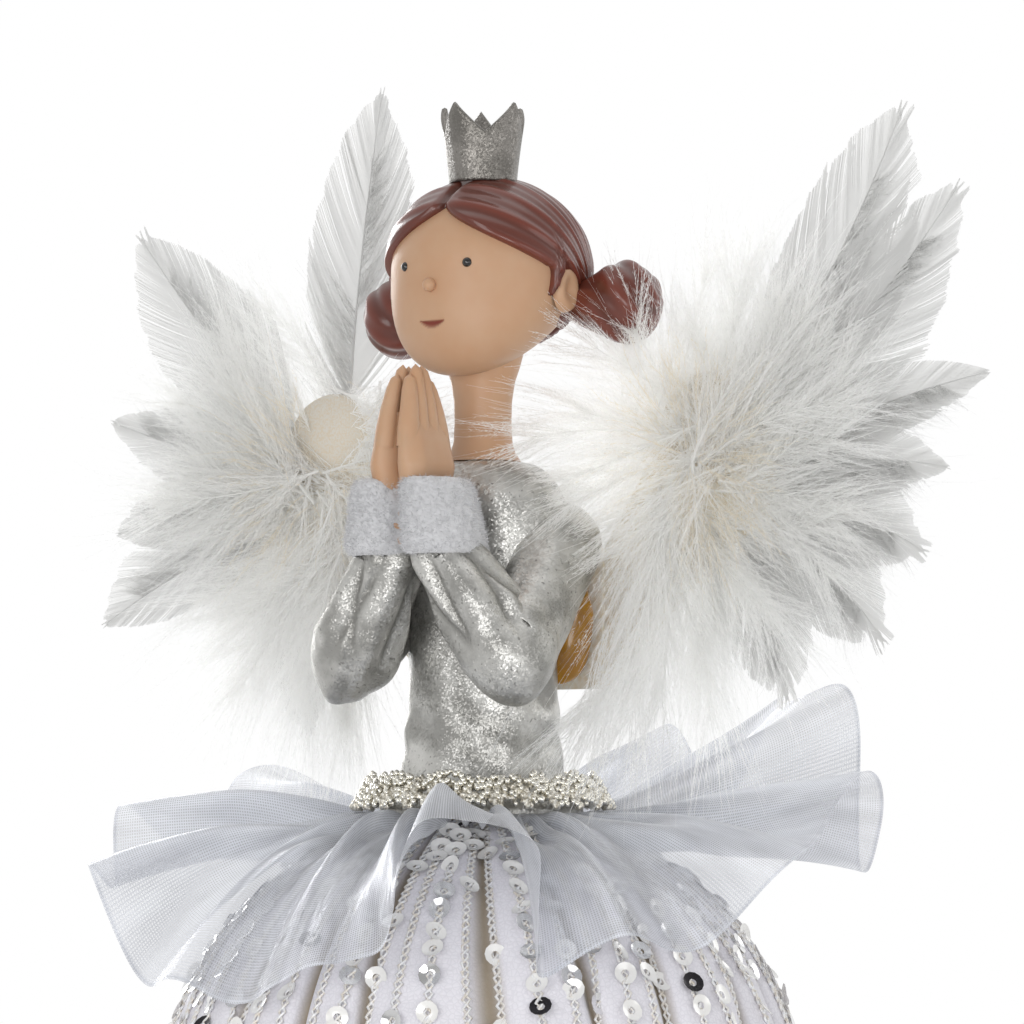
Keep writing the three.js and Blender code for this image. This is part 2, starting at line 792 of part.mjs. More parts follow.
// The card widens from the bend line to a round end that carries the feathers.
function wingCardPlate(side) {
  const edge = bendLine + bendGap / 2;
  const outline = [
    [edge, tabTop],
    [edge, tabBottom],
  ];
  const steps = 12;
  for (let i = 0; i <= steps; i++) {
    const angle = mix(-75, 125, i / steps) * degree;
    outline.push([hubOut + hubRadius * Math.cos(angle), hubUp + hubRadius * Math.sin(angle)]);
  }
  return wingPlate(side, outline, -wingCard / 2, wingCard / 2);
}

function feltDisc(side) {
  const steps = 20;
  const outline = Array.from({ length: steps }, (_, i) => {
    const angle = (2 * Math.PI * i) / steps;
    return [hubOut + feltRadius * Math.cos(angle), hubUp + feltUp + feltRadius * Math.sin(angle)];
  });
  const back = wingCard / 2 + seatGap;
  return wingPlate(side, outline, back, back + feltThickness);
}

// The bead of glue between the torso's back and the front of the tab.
function glue(side) {
  const middle = wingFoot + (tabBottom + tabTop) / 2;
  const centre = point(side * (tabStart + glueHalfWidth), wingBack - wingCard, middle);
  const bead = solid(ellipsoid(centre, glueHalfWidth, 2 * glueHalfWidth, glueHalfHeight, 14, 10));
  const tabFront = wingBack - wingLean * bendLine - wingCard / 2 - seatGap;
  const behind = solid(box(point(-farAway, tabFront, -farAway), point(farAway, farAway, farAway)));
  const kept = bead.subtract(behind).subtract(solid(torsoBody(seatGap)));
  return shapeOf(kept.subtract(solid(upperArm(side, 2 * seatGap))));
}

// A feather: a lens-shaped section along a bent shaft, narrow at the quill and fullest past its middle.
function feather(side, spec) {
  const root = wingPoint(side, ...spec.root, spec.forward);
  const tip = wingPoint(side, ...spec.tip, spec.tipForward ?? spec.forward);
  const along = tip.clone().sub(root).normalize();
  const facing = (spec.facing ?? point(0, -1, 0)).clone();
  facing.x *= side;
  const across = along.clone().cross(facing).normalize();
  const control = root.clone().lerp(tip, 0.5).addScaledVector(across, side * (spec.bend ?? 0));
  control.addScaledVector(facing, spec.curl ?? 0);
  const shaft = new THREE.QuadraticBezierCurve3(root, control, tip);
  const rings = [];
  const steps = spec.steps;
  for (let i = 0; i <= steps; i++) {
    const t = i / steps;
    const centre = shaft.getPoint(t);
    const tangent = shaft.getTangent(t);
    const cross = tangent.clone().cross(facing).normalize();
    const normal = cross.clone().cross(tangent);
    const full = Math.pow(Math.sin(Math.PI * Math.pow(mix(0.008, 0.985, t), spec.fullness)), 0.75);
    const tuft = 1 + spec.ragged * Math.sin(5.5 * Math.PI * t);
    const half = Math.max(0.8, (spec.width / 2) * full * tuft);
    const thick = spec.thickness * mix(0.55, 0.5 * full + 0.5, spec.swell) * 0.5;
    const ring = spec.section.map(([w, n]) => {
      const p = centre.clone().addScaledVector(cross, half * w);
      return p.addScaledVector(normal, thick * n);
    });
    rings.push(ring);
  }
  return loft(rings);
}

const quillSection = [[1, 0], [0.3, 0.7], [0, 1], [-0.3, 0.7], [-1, 0], [0, -1]];
const plumeSection = [[1, 0], [0.6, 0.8], [0, 1], [-0.6, 0.8], [-1, 0], [-0.6, -0.8], [0, -1], [0.6, -0.8]];

// The bent end of a feather's shaft that is stuck down, from the face it sits on to the feather's own layer.
function pegged(side, geometry, [out, up], seat, layer) {
  const half = rootPeg / 2;
  const outline = [
    [out - half, up - half],
    [out + half, up - half],
    [out + half, up + half],
    [out - half, up + half],
  ];
  const peg = wingPlate(side, outline, Math.min(seat, layer), Math.max(seat, layer));
  return shapeOf(solid(geometry).add(solid(peg)));
}

function quill(side, { tip, width, layer, bend }) {
  const root = quillRoot(tip);
  const forward = -(cardFace + quillThickness / 2 + layer * quillPitch);
  const size = { width, thickness: quillThickness, section: quillSection, steps: 8 };
  const shape = { ...size, fullness: 0.85, ragged: 0, swell: 0 };
  const vane = feather(side, { root, tip, bend, forward, ...shape });
  return layer === 0 ? vane : pegged(side, vane, root, -cardFace, forward);
}

function plume(side, { root, forward, seat }, { tip, width, ...more }) {
  const size = { width, thickness: plumeThickness, section: plumeSection, steps: 7 };
  const shape = { ...size, fullness: 0.7, ragged: 0.12, swell: 1 };
  const vane = feather(side, { root, tip, forward, ...shape, ...more });
  return pegged(side, vane, root, seat, forward);
}

// Where a quill starts: on the card's round end, in line with its tip.
function quillRoot([out, up]) {
  const length = Math.hypot(out - hubOut, up - hubUp);
  const inset = hubRadius * 0.72;
  return [hubOut + ((out - hubOut) * inset) / length, hubUp + ((up - hubUp) * inset) / length];
}

// Tips of the long feathers as [out, up], with each one's width, layer behind the card and bend.
const quills = {
  left: [
    { tip: [90, 133], width: 22, layer: 0, bend: 5 },
    { tip: [102, 117], width: 22, layer: 1, bend: 5 },
    { tip: [108, 81], width: 14, layer: 2, bend: -3 },
    { tip: [100, 63], width: 14, layer: 0, bend: -4 },
    { tip: [94, 47], width: 15, layer: 1, bend: -4 },
    { tip: [84, 30], width: 16, layer: 2, bend: -4 },
    { tip: [63, 19], width: 15, layer: 0, bend: -4 },
  ],
  right: [
    { tip: [36, 146], width: 19, layer: 0, bend: 2 },
    { tip: [99, 120], width: 21, layer: 1, bend: 4 },
    { tip: [107, 81], width: 15, layer: 2, bend: 2 },
    { tip: [104, 57], width: 15, layer: 0, bend: -2 },
    { tip: [108, 38], width: 18, layer: 1, bend: -4 },
    { tip: [56, 14], width: 17, layer: 2, bend: -3 },
  ],
};

// The soft tufts before and behind the card: where each is stuck down, and its tip on each wing.
const outFacing = point(0.6, -0.8, 0);
const plumeLayers = [0, 1, 2].map((layer) => feltFace + plumeThickness / 2 + layer * plumePitch);
const backLayer = -(cardFace + 3 * quillPitch + plumeThickness / 2);
const tufts = {
  upper: {
    place: { root: [50, 70], forward: plumeLayers[0], seat: feltFace },
    left: { tip: [74, 114], width: 24 },
    right: { tip: [84, 103], width: 22 },
  },
  inner: {
    place: { root: [38, 76], forward: plumeLayers[0], seat: feltFace },
    left: { tip: [44, 98], width: 11 },
    right: { tip: [26, 68], width: 11 },
  },
  shoulder: {
    place: { root: [39, 68], forward: plumeLayers[1], seat: feltFace },
    left: { tip: [14, 73], width: 11 },
    right: { tip: [14, 73], width: 11 },
  },
  outer: {
    place: { root: [57, 66], forward: plumeLayers[1], seat: cardFace },
    left: { tip: [92, 88], width: 26 },
    right: { tip: [93, 77], width: 28 },
  },
  low_outer: {
    place: { root: [52, 54], forward: plumeLayers[0], seat: cardFace },
    left: { tip: [74, 34], width: 22 },
    right: { tip: [83, 42], width: 24 },
  },
  low_inner: {
    place: { root: [41, 54], forward: plumeLayers[1], seat: cardFace },
    left: { tip: [30, 8], width: 20 },
    right: { tip: [31, 11], width: 20 },
  },
  sleeve: {
    place: { root: [40, 50], forward: plumeLayers[2], seat: feltFace + 2 * plumePitch },
    left: { tip: [31, 14], width: 15, tipForward: 22, facing: outFacing },
    right: { tip: [55, 12], width: 20 },
  },
  back: {
    place: { root: [48, 60], forward: backLayer, seat: -cardFace },
    left: { tip: [74, 78], width: 30 },
    right: { tip: [74, 78], width: 30 },
  },
};

// Assembly

const group = new THREE.Group();
const finishes = {
  card: { color: 0xb9a183, roughness: 0.9, metalness: 0 },
  whiteCard: { color: 0xf1eee4, roughness: 0.9, metalness: 0 },
  lining: { color: 0xd8d6da, roughness: 0.9, metalness: 0 },
  sequinCloth: { color: 0xcdccd2, roughness: 0.5, metalness: 0.2 },
  organza: { color: 0xb9bdc8, roughness: 0.5, metalness: 0.1 },
  braid: { color: 0xd9d4c6, roughness: 0.35, metalness: 0.8 },
  silverPaint: { color: 0xb5b5b0, roughness: 0.4, metalness: 0.6 },
  skinPaint: { color: 0xd2ab8a, roughness: 0.45, metalness: 0 },
  hairPaint: { color: 0x8f5f53, roughness: 0.35, metalness: 0 },
  eyePaint: { color: 0x1c1714, roughness: 0.2, metalness: 0 },
  plush: { color: 0xe4e4e6, roughness: 0.95, metalness: 0 },
  felt: { color: 0xf2eee2, roughness: 0.95, metalness: 0 },
  hotMelt: { color: 0xc9962f, roughness: 0.3, metalness: 0 },
  quill: { color: 0xf2f2f2, roughness: 0.7, metalness: 0 },
  marabou: { color: 0xf6f5f2, roughness: 0.9, metalness: 0 },
};

function add(parent, name, geometry, finish) {
  const mesh = new THREE.Mesh(geometry, new THREE.MeshStandardMaterial(finishes[finish]));
  mesh.name = name;
  parent.add(mesh);
}

const figure = new THREE.Group();
add(figure, "tree_cone", treeCone(), "card");
add(figure, "skirt_lining", skirtLining(), "lining");
add(figure, "skirt", skirt(), "sequinCloth");
add(figure, "ruffle", ruffle(), "organza");
add(figure, "waist_braid", waistBraid(), "braid");
add(figure, "torso", torso(), "silverPaint");
add(figure, "head", head(), "skinPaint");
add(figure, "hair", hair(), "hairPaint");
add(figure, "crown", crown(), "silverPaint");
group.add(figure);

for (const [name, side] of [["left", 1], ["right", -1]]) {
  add(figure, `sleeve_${name}`, sleeve(side), "silverPaint");
  add(figure, `cuff_${name}`, cuff(side), "plush");
  add(figure, `hand_${name}`, hand(side), "skinPaint");
  add(figure, `eye_${name}`, eye(side), "eyePaint");
  add(figure, `bun_${name}`, bun(side), "hairPaint");
  add(figure, `wing_tab_${name}`, wingTab(side), "whiteCard");
  add(figure, `glue_${name}`, glue(side), "hotMelt");
  const wing = new THREE.Group();
  add(wing, `wing_card_${name}`, wingCardPlate(side), "whiteCard");
  add(wing, `felt_disc_${name}`, feltDisc(side), "felt");
  quills[name].forEach((q, i) => {
    add(wing, `quill_${name}_${i + 1}`, quill(side, q), "quill");
  });
  for (const [tuft, form] of Object.entries(tufts)) {
    add(wing, `plume_${name}_${tuft}`, plume(side, form.place, form[name]), "marabou");
  }
  group.add(wing);
}

export default group;
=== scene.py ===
"""Angel tree topper: a praying half-figure in painted resin on a card cone, dressed with a sequin skirt,
an organza ruffle, a looped braid and feather wings. Sizes are in millimetres until a mesh is written."""

import math
from types import SimpleNamespace

import bpy
import numpy as np
from bpy.props import FloatProperty, IntProperty, PointerProperty, StringProperty
from bpy.types import Operator, Panel, PropertyGroup
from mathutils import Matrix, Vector


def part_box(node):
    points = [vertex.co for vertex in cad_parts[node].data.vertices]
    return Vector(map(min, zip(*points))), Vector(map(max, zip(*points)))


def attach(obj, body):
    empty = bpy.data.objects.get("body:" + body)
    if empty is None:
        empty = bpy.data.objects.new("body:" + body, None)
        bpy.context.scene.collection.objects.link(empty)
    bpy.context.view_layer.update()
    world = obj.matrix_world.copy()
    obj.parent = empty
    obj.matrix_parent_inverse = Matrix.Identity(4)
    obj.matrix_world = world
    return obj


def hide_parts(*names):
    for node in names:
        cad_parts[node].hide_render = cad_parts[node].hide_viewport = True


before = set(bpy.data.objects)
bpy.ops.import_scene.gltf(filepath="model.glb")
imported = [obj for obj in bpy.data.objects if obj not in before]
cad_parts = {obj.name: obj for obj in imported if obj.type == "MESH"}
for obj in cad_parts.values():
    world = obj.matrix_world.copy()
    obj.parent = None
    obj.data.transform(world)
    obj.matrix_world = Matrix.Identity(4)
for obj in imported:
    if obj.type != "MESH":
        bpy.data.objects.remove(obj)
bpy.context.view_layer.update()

bl_info = {
    "name": "Angel tree topper",
    "version": (1, 0, 0),
    "blender": (4, 5, 0),
    "location": "View3D > Sidebar > Topper",
    "description": "Builds the pieces of an angel tree topper on its packed frame",
    "category": "Add Mesh",
}

MM = 0.001
SIDES = (("left", 1.0), ("right", -1.0))
TAU = 2 * math.pi


def measure(name, description, mm):
    """A length property with its default in millimetres."""
    return FloatProperty(
        name=name,
        description=description,
        default=mm * MM,
        min=0.0,
        precision=4,
        subtype="DISTANCE",
        unit="LENGTH",
    )


def hex_colour(name, used_on, value):
    """A colour property that holds six sRGB hex digits."""
    return StringProperty(name=name, description=f"{used_on}, as sRGB hex digits", default=value, maxlen=6)


class TopperSizes(PropertyGroup):
    """Sizes of the pieces, given in millimetres and stored as lengths."""

    cone_height: measure("Cone height", "Height of the card cone", 150.0)
    cone_mouth: measure("Cone mouth radius", "Outer radius of the cone at its open foot", 48.0)
    cone_top: measure("Cone top radius", "Outer radius of the cone under the waist", 14.0)
    cone_wall: measure("Cone wall", "Thickness of the cone's board", 1.5)
    seat_gap: measure("Seat gap", "Gap between pieces that sit on each other", 0.3)
    torso_height: measure("Torso height", "Height of the collar over the waist", 70.5)
    shoulder_drop: measure("Shoulder drop", "Height of the collar over the shoulder", 15.0)
    neck_rise: measure("Neck rise", "Height of the head's middle over the collar", 38.6)
    head_half_width: measure("Head half width", "Half of the head's width at its middle", 19.4)
    chin_drop: measure("Chin drop", "Height of the head's middle over the chin", 21.6)
    skull_rise: measure("Skull rise", "Height of the skull over the head's middle", 17.2)
    hair_thickness: measure("Hair thickness", "Thickness of the hair cap on the skull", 1.5)
    bun_radius: measure("Bun radius", "Radius of the coiled buns", 7.6)
    crown_height: measure("Crown height", "Height of the crown's points over its foot", 15.5)
    flange: measure("Waist flange radius", "Radius of the flange that the ruffle is sewn round", 20.0)
    sleeve_radius: measure("Sleeve radius", "Radius of the upper sleeve", 8.4)
    ribbon_width: measure("Ribbon width", "Width of the organza ribbon", 60.0)
    ribbon_length: measure("Ribbon length", "Length of the organza ribbon before gathering", 540.0)
    weave_pitch: measure("Thread pitch", "Distance between the organza's threads", 0.5)
    pleats: IntProperty(name="Skirt pleats", description="Pleats round the skirt", default=20, min=3)
    pleat_depth: measure("Pleat depth", "Half depth of the pleats at the hem", 2.4)
    sequin_radius: measure("Sequin radius", "Radius of the sequins", 2.2)
    sequin_pitch: measure("Sequin spacing", "Distance between sequins along a row", 5.6)
    hub_out: measure("Wing hub out", "Distance of the wing's hub from the middle", 46.0)
    hub_up: measure("Wing hub up", "Height of the wing's hub over the wing's foot", 64.0)
    wing_hang: measure("Wing hang", "Height of the collar over the wing's foot", 67.0)
    wing_back: measure("Wing back", "Distance of the wing cards behind the middle", 14.5)


class TopperColours(PropertyGroup):
    """Colours of the finishes as sRGB hex values."""

    skin: hex_colour("Skin paint", "Head and hands", "c5a081")
    lips: hex_colour("Lip paint", "The pressed-in smile", "7a2f22")
    hair: hex_colour("Hair paint", "Hair cap and buns", "6f3426")
    # Painted shade: this darker brown stands in for the shade in the combed grooves of hair and buns.
    hair_groove_shade: hex_colour("Hair paint in the grooves", "Paint settled between the combed locks", "552b21")
    silver: hex_colour("Silver paint", "Torso and sleeves", "d3d2ce")
    # Dark paint of the random pits and patches, and painted shade in the creases of torso and sleeves.
    silver_specks_and_shade: hex_colour("Silver paint in the hollows", "Pits and creases of the silver paint", "55534d")
    crown: hex_colour("Crown paint", "The cast crown", "918d88")
    eye: hex_colour("Eye enamel", "The two inset eyes", "15110f")
    plush: hex_colour("Plush", "Pile of the cuffs", "d4d4d6")
    organza: hex_colour("Organza thread", "Threads of the ruffle", "e9ecf3")
    cloth: hex_colour("Skirt cloth", "Skirt and its lining", "eae8ee")
    thread: hex_colour("Metallic stitch thread", "Rows of stitches on the skirt", "f3f4f6")
    valley: hex_colour("Pleat valleys", "Shaded bottoms of the pleats", "8e7f66")
    pearl: hex_colour("Pearl sequin", "Most sequins", "f3f2ef")
    mirror: hex_colour("Silver sequin", "Bright sequins", "e6e6e6")
    dark: hex_colour("Smoke sequin", "The few dark sequins", "2b292c")
    braid: hex_colour("Braid thread", "Cords and beads of the waist braid", "efece2")
    feather: hex_colour("Quill feather", "Vanes of the wing feathers", "e6e6e5")
    down: hex_colour("Marabou down", "Tufts of the wings", "fdfdfc")
    core: hex_colour("Down at the core", "Short down round the wing's hub", "f8f2e6")
    card: hex_colour("Cone board", "Inside of the skirt", "b9a183")
    white_card: hex_colour("Wing board", "Wing cards and tabs", "f1eee4")
    felt: hex_colour("Felt", "Discs on the wing cards", "dfdad0")
    glue: hex_colour("Hot-melt glue", "Beads that hold the tabs", "c98f1f")


def sizes():
    """The lengths in millimetres, and the count of pleats."""
    group = bpy.context.scene.topper_sizes
    found = {key: getattr(group, key) for key in TopperSizes.__annotations__}
    return SimpleNamespace(**{k: v if isinstance(v, int) else round(v / MM, 4) for k, v in found.items()})


def waist():
    """Height of the waist, where the torso sits on the cone."""
    s = sizes()
    return s.cone_height + s.seat_gap


def collar():
    """Height of the collar."""
    return waist() + sizes().torso_height


def head_height():
    """Height of the head's middle."""
    return collar() + sizes().neck_rise


# Colour and material helpers


def linear(name):
    """The named colour's sRGB hex value as linear RGBA."""
    text = getattr(bpy.context.scene.topper_colours, name)
    srgb = np.array([int(text[i : i + 2], 16) / 255 for i in (0, 2, 4)])
    low = srgb / 12.92
    high = ((srgb + 0.055) / 1.055) ** 2.4
    return (*np.where(srgb <= 0.04045, low, high), 1.0)


def new_material(name, **values):
    """A node material with its Principled sockets set by name."""
    found = bpy.data.materials.get(name)
    if found:
        return found, None
    made = bpy.data.materials.new(name)
    made.use_nodes = True
    shader = made.node_tree.nodes["Principled BSDF"]
    for key, value in values.items():
        shader.inputs[key.replace("_", " ")].default_value = value
    return made, shader


def node(material, kind, inputs=(), **settings):
    """Adds a shader node, sets its settings, and sets its inputs by name or number or links them to an
    output or to the first output of another node.

    A Map Range's inputs 1 and 2 are the range that it takes, 3 and 4 the one that it gives. A Mix of colours
    has its factor at 0 and its colours at 6 and 7, and gives a colour at 2."""
    made = material.node_tree.nodes.new(f"ShaderNode{kind}")
    for key, value in settings.items():
        setattr(made, key, value)
    for key, value in dict(inputs).items():
        if isinstance(value, (bpy.types.Node, bpy.types.NodeSocket)):
            link(material, value, made.inputs[key])
        else:
            made.inputs[key].default_value = value
    return made


def link(material, source, socket):
    """Links a socket to an output, or to the first output of a node."""
    output = source.outputs[0] if isinstance(source, bpy.types.Node) else source
    material.node_tree.links.new(output, socket)


def mm_coords(material):
    """Object coordinates in millimetres."""
    coords = node(material, "TexCoord").outputs["Object"]
    return node(material, "VectorMath", {0: coords, "Scale": 1 / MM}, operation="SCALE")


def toned(colour, *tones):
    """A linear colour with its red, green and blue each multiplied by a tone."""
    return (*(value * tone for value, tone in zip(colour, tones)), 1.0)


def skin_paint():
    """Satin skin paint on cast resin: soft highlights and a faint brushed unevenness."""
    m, shader = new_material(
        "skin_paint_satin",
        Roughness=0.42,
        Subsurface_Weight=0.12,
        Subsurface_Radius=(0.003, 0.0015, 0.0008),
        Specular_IOR_Level=0.4,
    )
    if shader:
        brushed = node(m, "TexNoise", {"Vector": mm_coords(m), "Scale": 0.12, "Detail": 3.0})
        tone = node(m, "MapRange", {"Value": brushed, 1: 0.3, 2: 0.7, 3: 0.0, 4: 1.0})
        base = linear("skin")
        warm = toned(base, 0.97, 0.9, 0.84)
        skin = node(m, "Mix", {0: tone, 6: base, 7: warm}, data_type="RGBA").outputs[2]
        smile = node(m, "Attribute", attribute_name="mark").outputs["Fac"]
        colour = node(m, "Mix", {0: smile, 6: skin, 7: linear("lips")}, data_type="RGBA")
        link(m, colour.outputs[2], shader.inputs["Base Color"])
    return m


def hair_paint():
    """Brown satin paint, with painted shade, a darker brown, in the combed grooves."""
    m, shader = new_material("hair_paint_satin", Roughness=0.3, Specular_IOR_Level=0.5, Coat_Weight=0.25)
    if shader:
        # The mark gives painted shade in the grooves.
        groove = node(m, "Attribute", attribute_name="mark").outputs["Fac"]
        tones = {0: groove, 6: linear("hair"), 7: linear("hair_groove_shade")}
        colour = node(m, "Mix", tones, data_type="RGBA")
        link(m, colour.outputs[2], shader.inputs["Base Color"])
    return m


def silver_paint(name, tint, speck, tilted):
    """Silver glitter paint on cast resin: flakes that each face their own way, drawn at 0.3 mm, a little
    coarse, so that they show, dark pits and patches at random, and painted shade in the creases."""
    m, shader = new_material(name, Metallic=0.8, Roughness=0.38)
    if shader:
        mm = mm_coords(m)
        flakes = node(m, "TexVoronoi", {"Vector": mm, "Scale": 3.4}).outputs["Color"]
        tilt = node(m, "VectorMath", {0: flakes, 1: (0.5, 0.5, 0.5)}, operation="SUBTRACT")
        lean = node(m, "VectorMath", {0: tilt, "Scale": tilted}, operation="SCALE")
        facing = node(m, "NewGeometry").outputs["Normal"]
        turned = node(m, "VectorMath", {0: facing, 1: lean}, operation="ADD")
        normal = node(m, "VectorMath", {0: turned}, operation="NORMALIZE")
        link(m, normal, shader.inputs["Normal"])
        grain = node(m, "TexNoise", {"Vector": mm, "Scale": 1.1, "Detail": 3.0})
        patch = node(m, "TexNoise", {"Vector": mm, "Scale": 0.13, "Detail": 4.0})
        worn = node(m, "MapRange", {"Value": patch, 1: 0.42, 2: 0.62, 3: 0.05, 4: 0.5})
        pits = node(m, "MapRange", {"Value": grain, 1: 0.6, 2: 0.68, 3: 0.0, 4: speck})
        both = node(m, "Math", {0: worn, 1: pits}, operation="MAXIMUM")
        # The mark gives painted shade in the creases, mixed with the random specks.
        crease_shade = node(m, "Attribute", attribute_name="mark").outputs["Fac"]
        specks_and_crease_shade = node(m, "Math", {0: both, 1: crease_shade}, operation="MAXIMUM")
        tones = {0: specks_and_crease_shade, 6: linear(tint), 7: linear("silver_specks_and_shade")}
        colour = node(m, "Mix", tones, data_type="RGBA")
        link(m, colour.outputs[2], shader.inputs["Base Color"])
    return m


def organza_cloth():
    """Sheer metallic organza: crossing threads with gaps between, drawn coarser than real ones so that they
    show, denser along its woven edges and towards the waist, with streaks of painted light and shade
    standing in for the shading of its folds, and a crush bump."""
    m, shader = new_material("organza_woven", Metallic=0.45, Roughness=0.34, Sheen_Weight=0.3)
    if shader:
        s = sizes()
        uv = node(m, "UVMap", uv_map="OFBake")
        place = node(m, "SeparateXYZ", {0: uv})
        threads = []
        for axis, span in ((0, s.ribbon_length), (1, s.ribbon_width)):
            crossed = {0: place.outputs[axis], 1: TAU * span / s.weave_pitch}
            angle = node(m, "Math", crossed, operation="MULTIPLY")
            wave = node(m, "Math", {0: angle}, operation="COSINE")
            threads.append(node(m, "MapRange", {"Value": wave, 1: -0.2, 2: 0.5, 3: 0.0, 4: 1.0}))
        weave = node(m, "Math", {0: threads[0], 1: threads[1]}, operation="MAXIMUM")
        middle = node(m, "Math", {0: place.outputs[1], 1: 0.5}, operation="SUBTRACT")
        edge = node(m, "Math", {0: middle}, operation="ABSOLUTE")
        hem = node(m, "MapRange", {"Value": edge, 1: 0.476, 2: 0.479, 3: 0.0, 4: 0.3})
        sheer = node(m, "MapRange", {"Value": weave, 1: 0.0, 2: 1.0, 3: 0.32, 4: 0.74})
        dense = node(m, "MapRange", {"Value": place.outputs[1], 1: 0.1, 2: 0.95, 3: 0.24, 4: 0.0})
        woven = node(m, "Math", {0: sheer, 1: dense}, operation="ADD")
        cover = node(m, "Math", {0: woven, 1: hem}, operation="ADD", use_clamp=True)
        spread = node(m, "VectorMath", {0: uv, 1: (85.0, 2.2, 1.0)}, operation="MULTIPLY")
        # Painted light and shade: streaks along the ribbon, lighter and darker, stand in for the shading of
        # its folds; the same noise gives the crush bump.
        crush = node(m, "TexNoise", {"Vector": spread, "Scale": 1.0, "Detail": 3.0})
        painted_streak_light = node(m, "MapRange", {"Value": crush, 1: 0.36, 2: 0.6, 3: 0.0, 4: 1.0})
        base = linear("organza")
        shade = toned(base, 0.66, 0.66, 0.67)
        colour = node(m, "Mix", {0: painted_streak_light, 6: shade, 7: base}, data_type="RGBA")
        link(m, colour.outputs[2], shader.inputs["Base Color"])
        bump = node(m, "Bump", {"Height": crush, "Strength": 0.7, "Distance": 0.0015})
        link(m, bump, shader.inputs["Normal"])
        through = node(m, "BsdfTranslucent", {"Color": base})
        cloth = node(m, "MixShader", {0: 0.22, 1: shader, 2: through})
        clear = node(m, "BsdfTransparent")
        both = node(m, "MixShader", {0: cover, 1: clear, 2: cloth})
        link(m, both, m.node_tree.nodes["Material Output"].inputs["Surface"])
    return m


def skirt_cloth():
    """Pale lavender-grey net-backed cloth with a knit of small cells, and dark brown-gold painted shade
    down in the pleats.
    """
    m, shader = new_material("skirt_cloth_net", Roughness=0.62, Sheen_Weight=0.15)
    if shader:
        knit = {"Vector": mm_coords(m), "Scale": 1.0}
        cells = node(m, "TexVoronoi", knit, feature="DISTANCE_TO_EDGE")
        thread = node(m, "MapRange", {"Value": cells, 1: 0.04, 2: 0.12, 3: 0.15, 4: 0.0})
        base = linear("cloth")
        shade = toned(base, 0.5, 0.5, 0.53)
        net = node(m, "Mix", {0: thread, 6: base, 7: shade}, data_type="RGBA").outputs[2]
        # The mark gives painted shade down in the pleat valleys.
        valley = node(m, "Attribute", attribute_name="mark").outputs["Fac"]
        colour = node(m, "Mix", {0: valley, 6: net, 7: linear("valley")}, data_type="RGBA")
        link(m, colour.outputs[2], shader.inputs["Base Color"])
        bump = node(m, "Bump", {"Height": cells, "Strength": 0.5, "Distance": 0.0003})
        link(m, bump, shader.inputs["Normal"])
    return m


def grained(name, tint, grain, strength, low_tone, **values):
    """Wound thread, board, felt or melted glue: a grain, in turns to the millimetre, that stands up a little
    and is warm and dark in its hollows, partly the grain's own random tone and partly painted shade."""
    m, shader = new_material(name, **values)
    if shader:
        noise = node(m, "TexNoise", {"Vector": mm_coords(m), "Scale": grain, "Detail": 2.0})
        low = node(m, "MapRange", {"Value": noise, 1: 0.35, 2: 0.6, 3: 0.0, 4: 1.0})
        base = linear(tint)
        deep = toned(base, low_tone, low_tone * 0.92, low_tone * 0.8)
        colour = node(m, "Mix", {0: low, 6: deep, 7: base}, data_type="RGBA")
        link(m, colour.outputs[2], shader.inputs["Base Color"])
        bump = node(m, "Bump", {"Height": noise, "Strength": strength, "Distance": 0.0003})
        link(m, bump, shader.inputs["Normal"])
    return m


def plain(name, tint, **values):
    """One even colour and gloss, for small or fine pieces."""
    return new_material(name, Base_Color=linear(tint), **values)[0]


def barb_material(name, tint, glow):
    """Feather barbs: white keratin that lets much of the light through, so tufts stay bright inside."""
    tone = linear(tint)
    m, shader = new_material(name, Base_Color=tone, Roughness=0.7, Specular_IOR_Level=0.25)
    if shader:
        through = node(m, "BsdfTranslucent", {"Color": tone})
        both = node(m, "MixShader", {0: glow, 1: shader, 2: through})
        link(m, both, m.node_tree.nodes["Material Output"].inputs["Surface"])
    return m


# Mesh helpers


def quads(nu, nv, wrap_u=False, wrap_v=False):
    """The quads (m, 4) of a grid of points, and their corners' places (m, 4, 2) from 0 to 1 on it."""
    lu, lv = nu - (not wrap_u), nv - (not wrap_v)
    i, j = (step.ravel() for step in np.indices((lu, lv)))
    near, far = (i + 1) % nu, (j + 1) % nv
    faces = np.stack([i * nv + j, near * nv + j, near * nv + far, i * nv + far], 1)
    corners = ((i, j), (i + 1, j), (i + 1, j + 1), (i, j + 1))
    return faces, np.stack([np.stack([a / lu, b / lv], -1) for a, b in corners], 1)


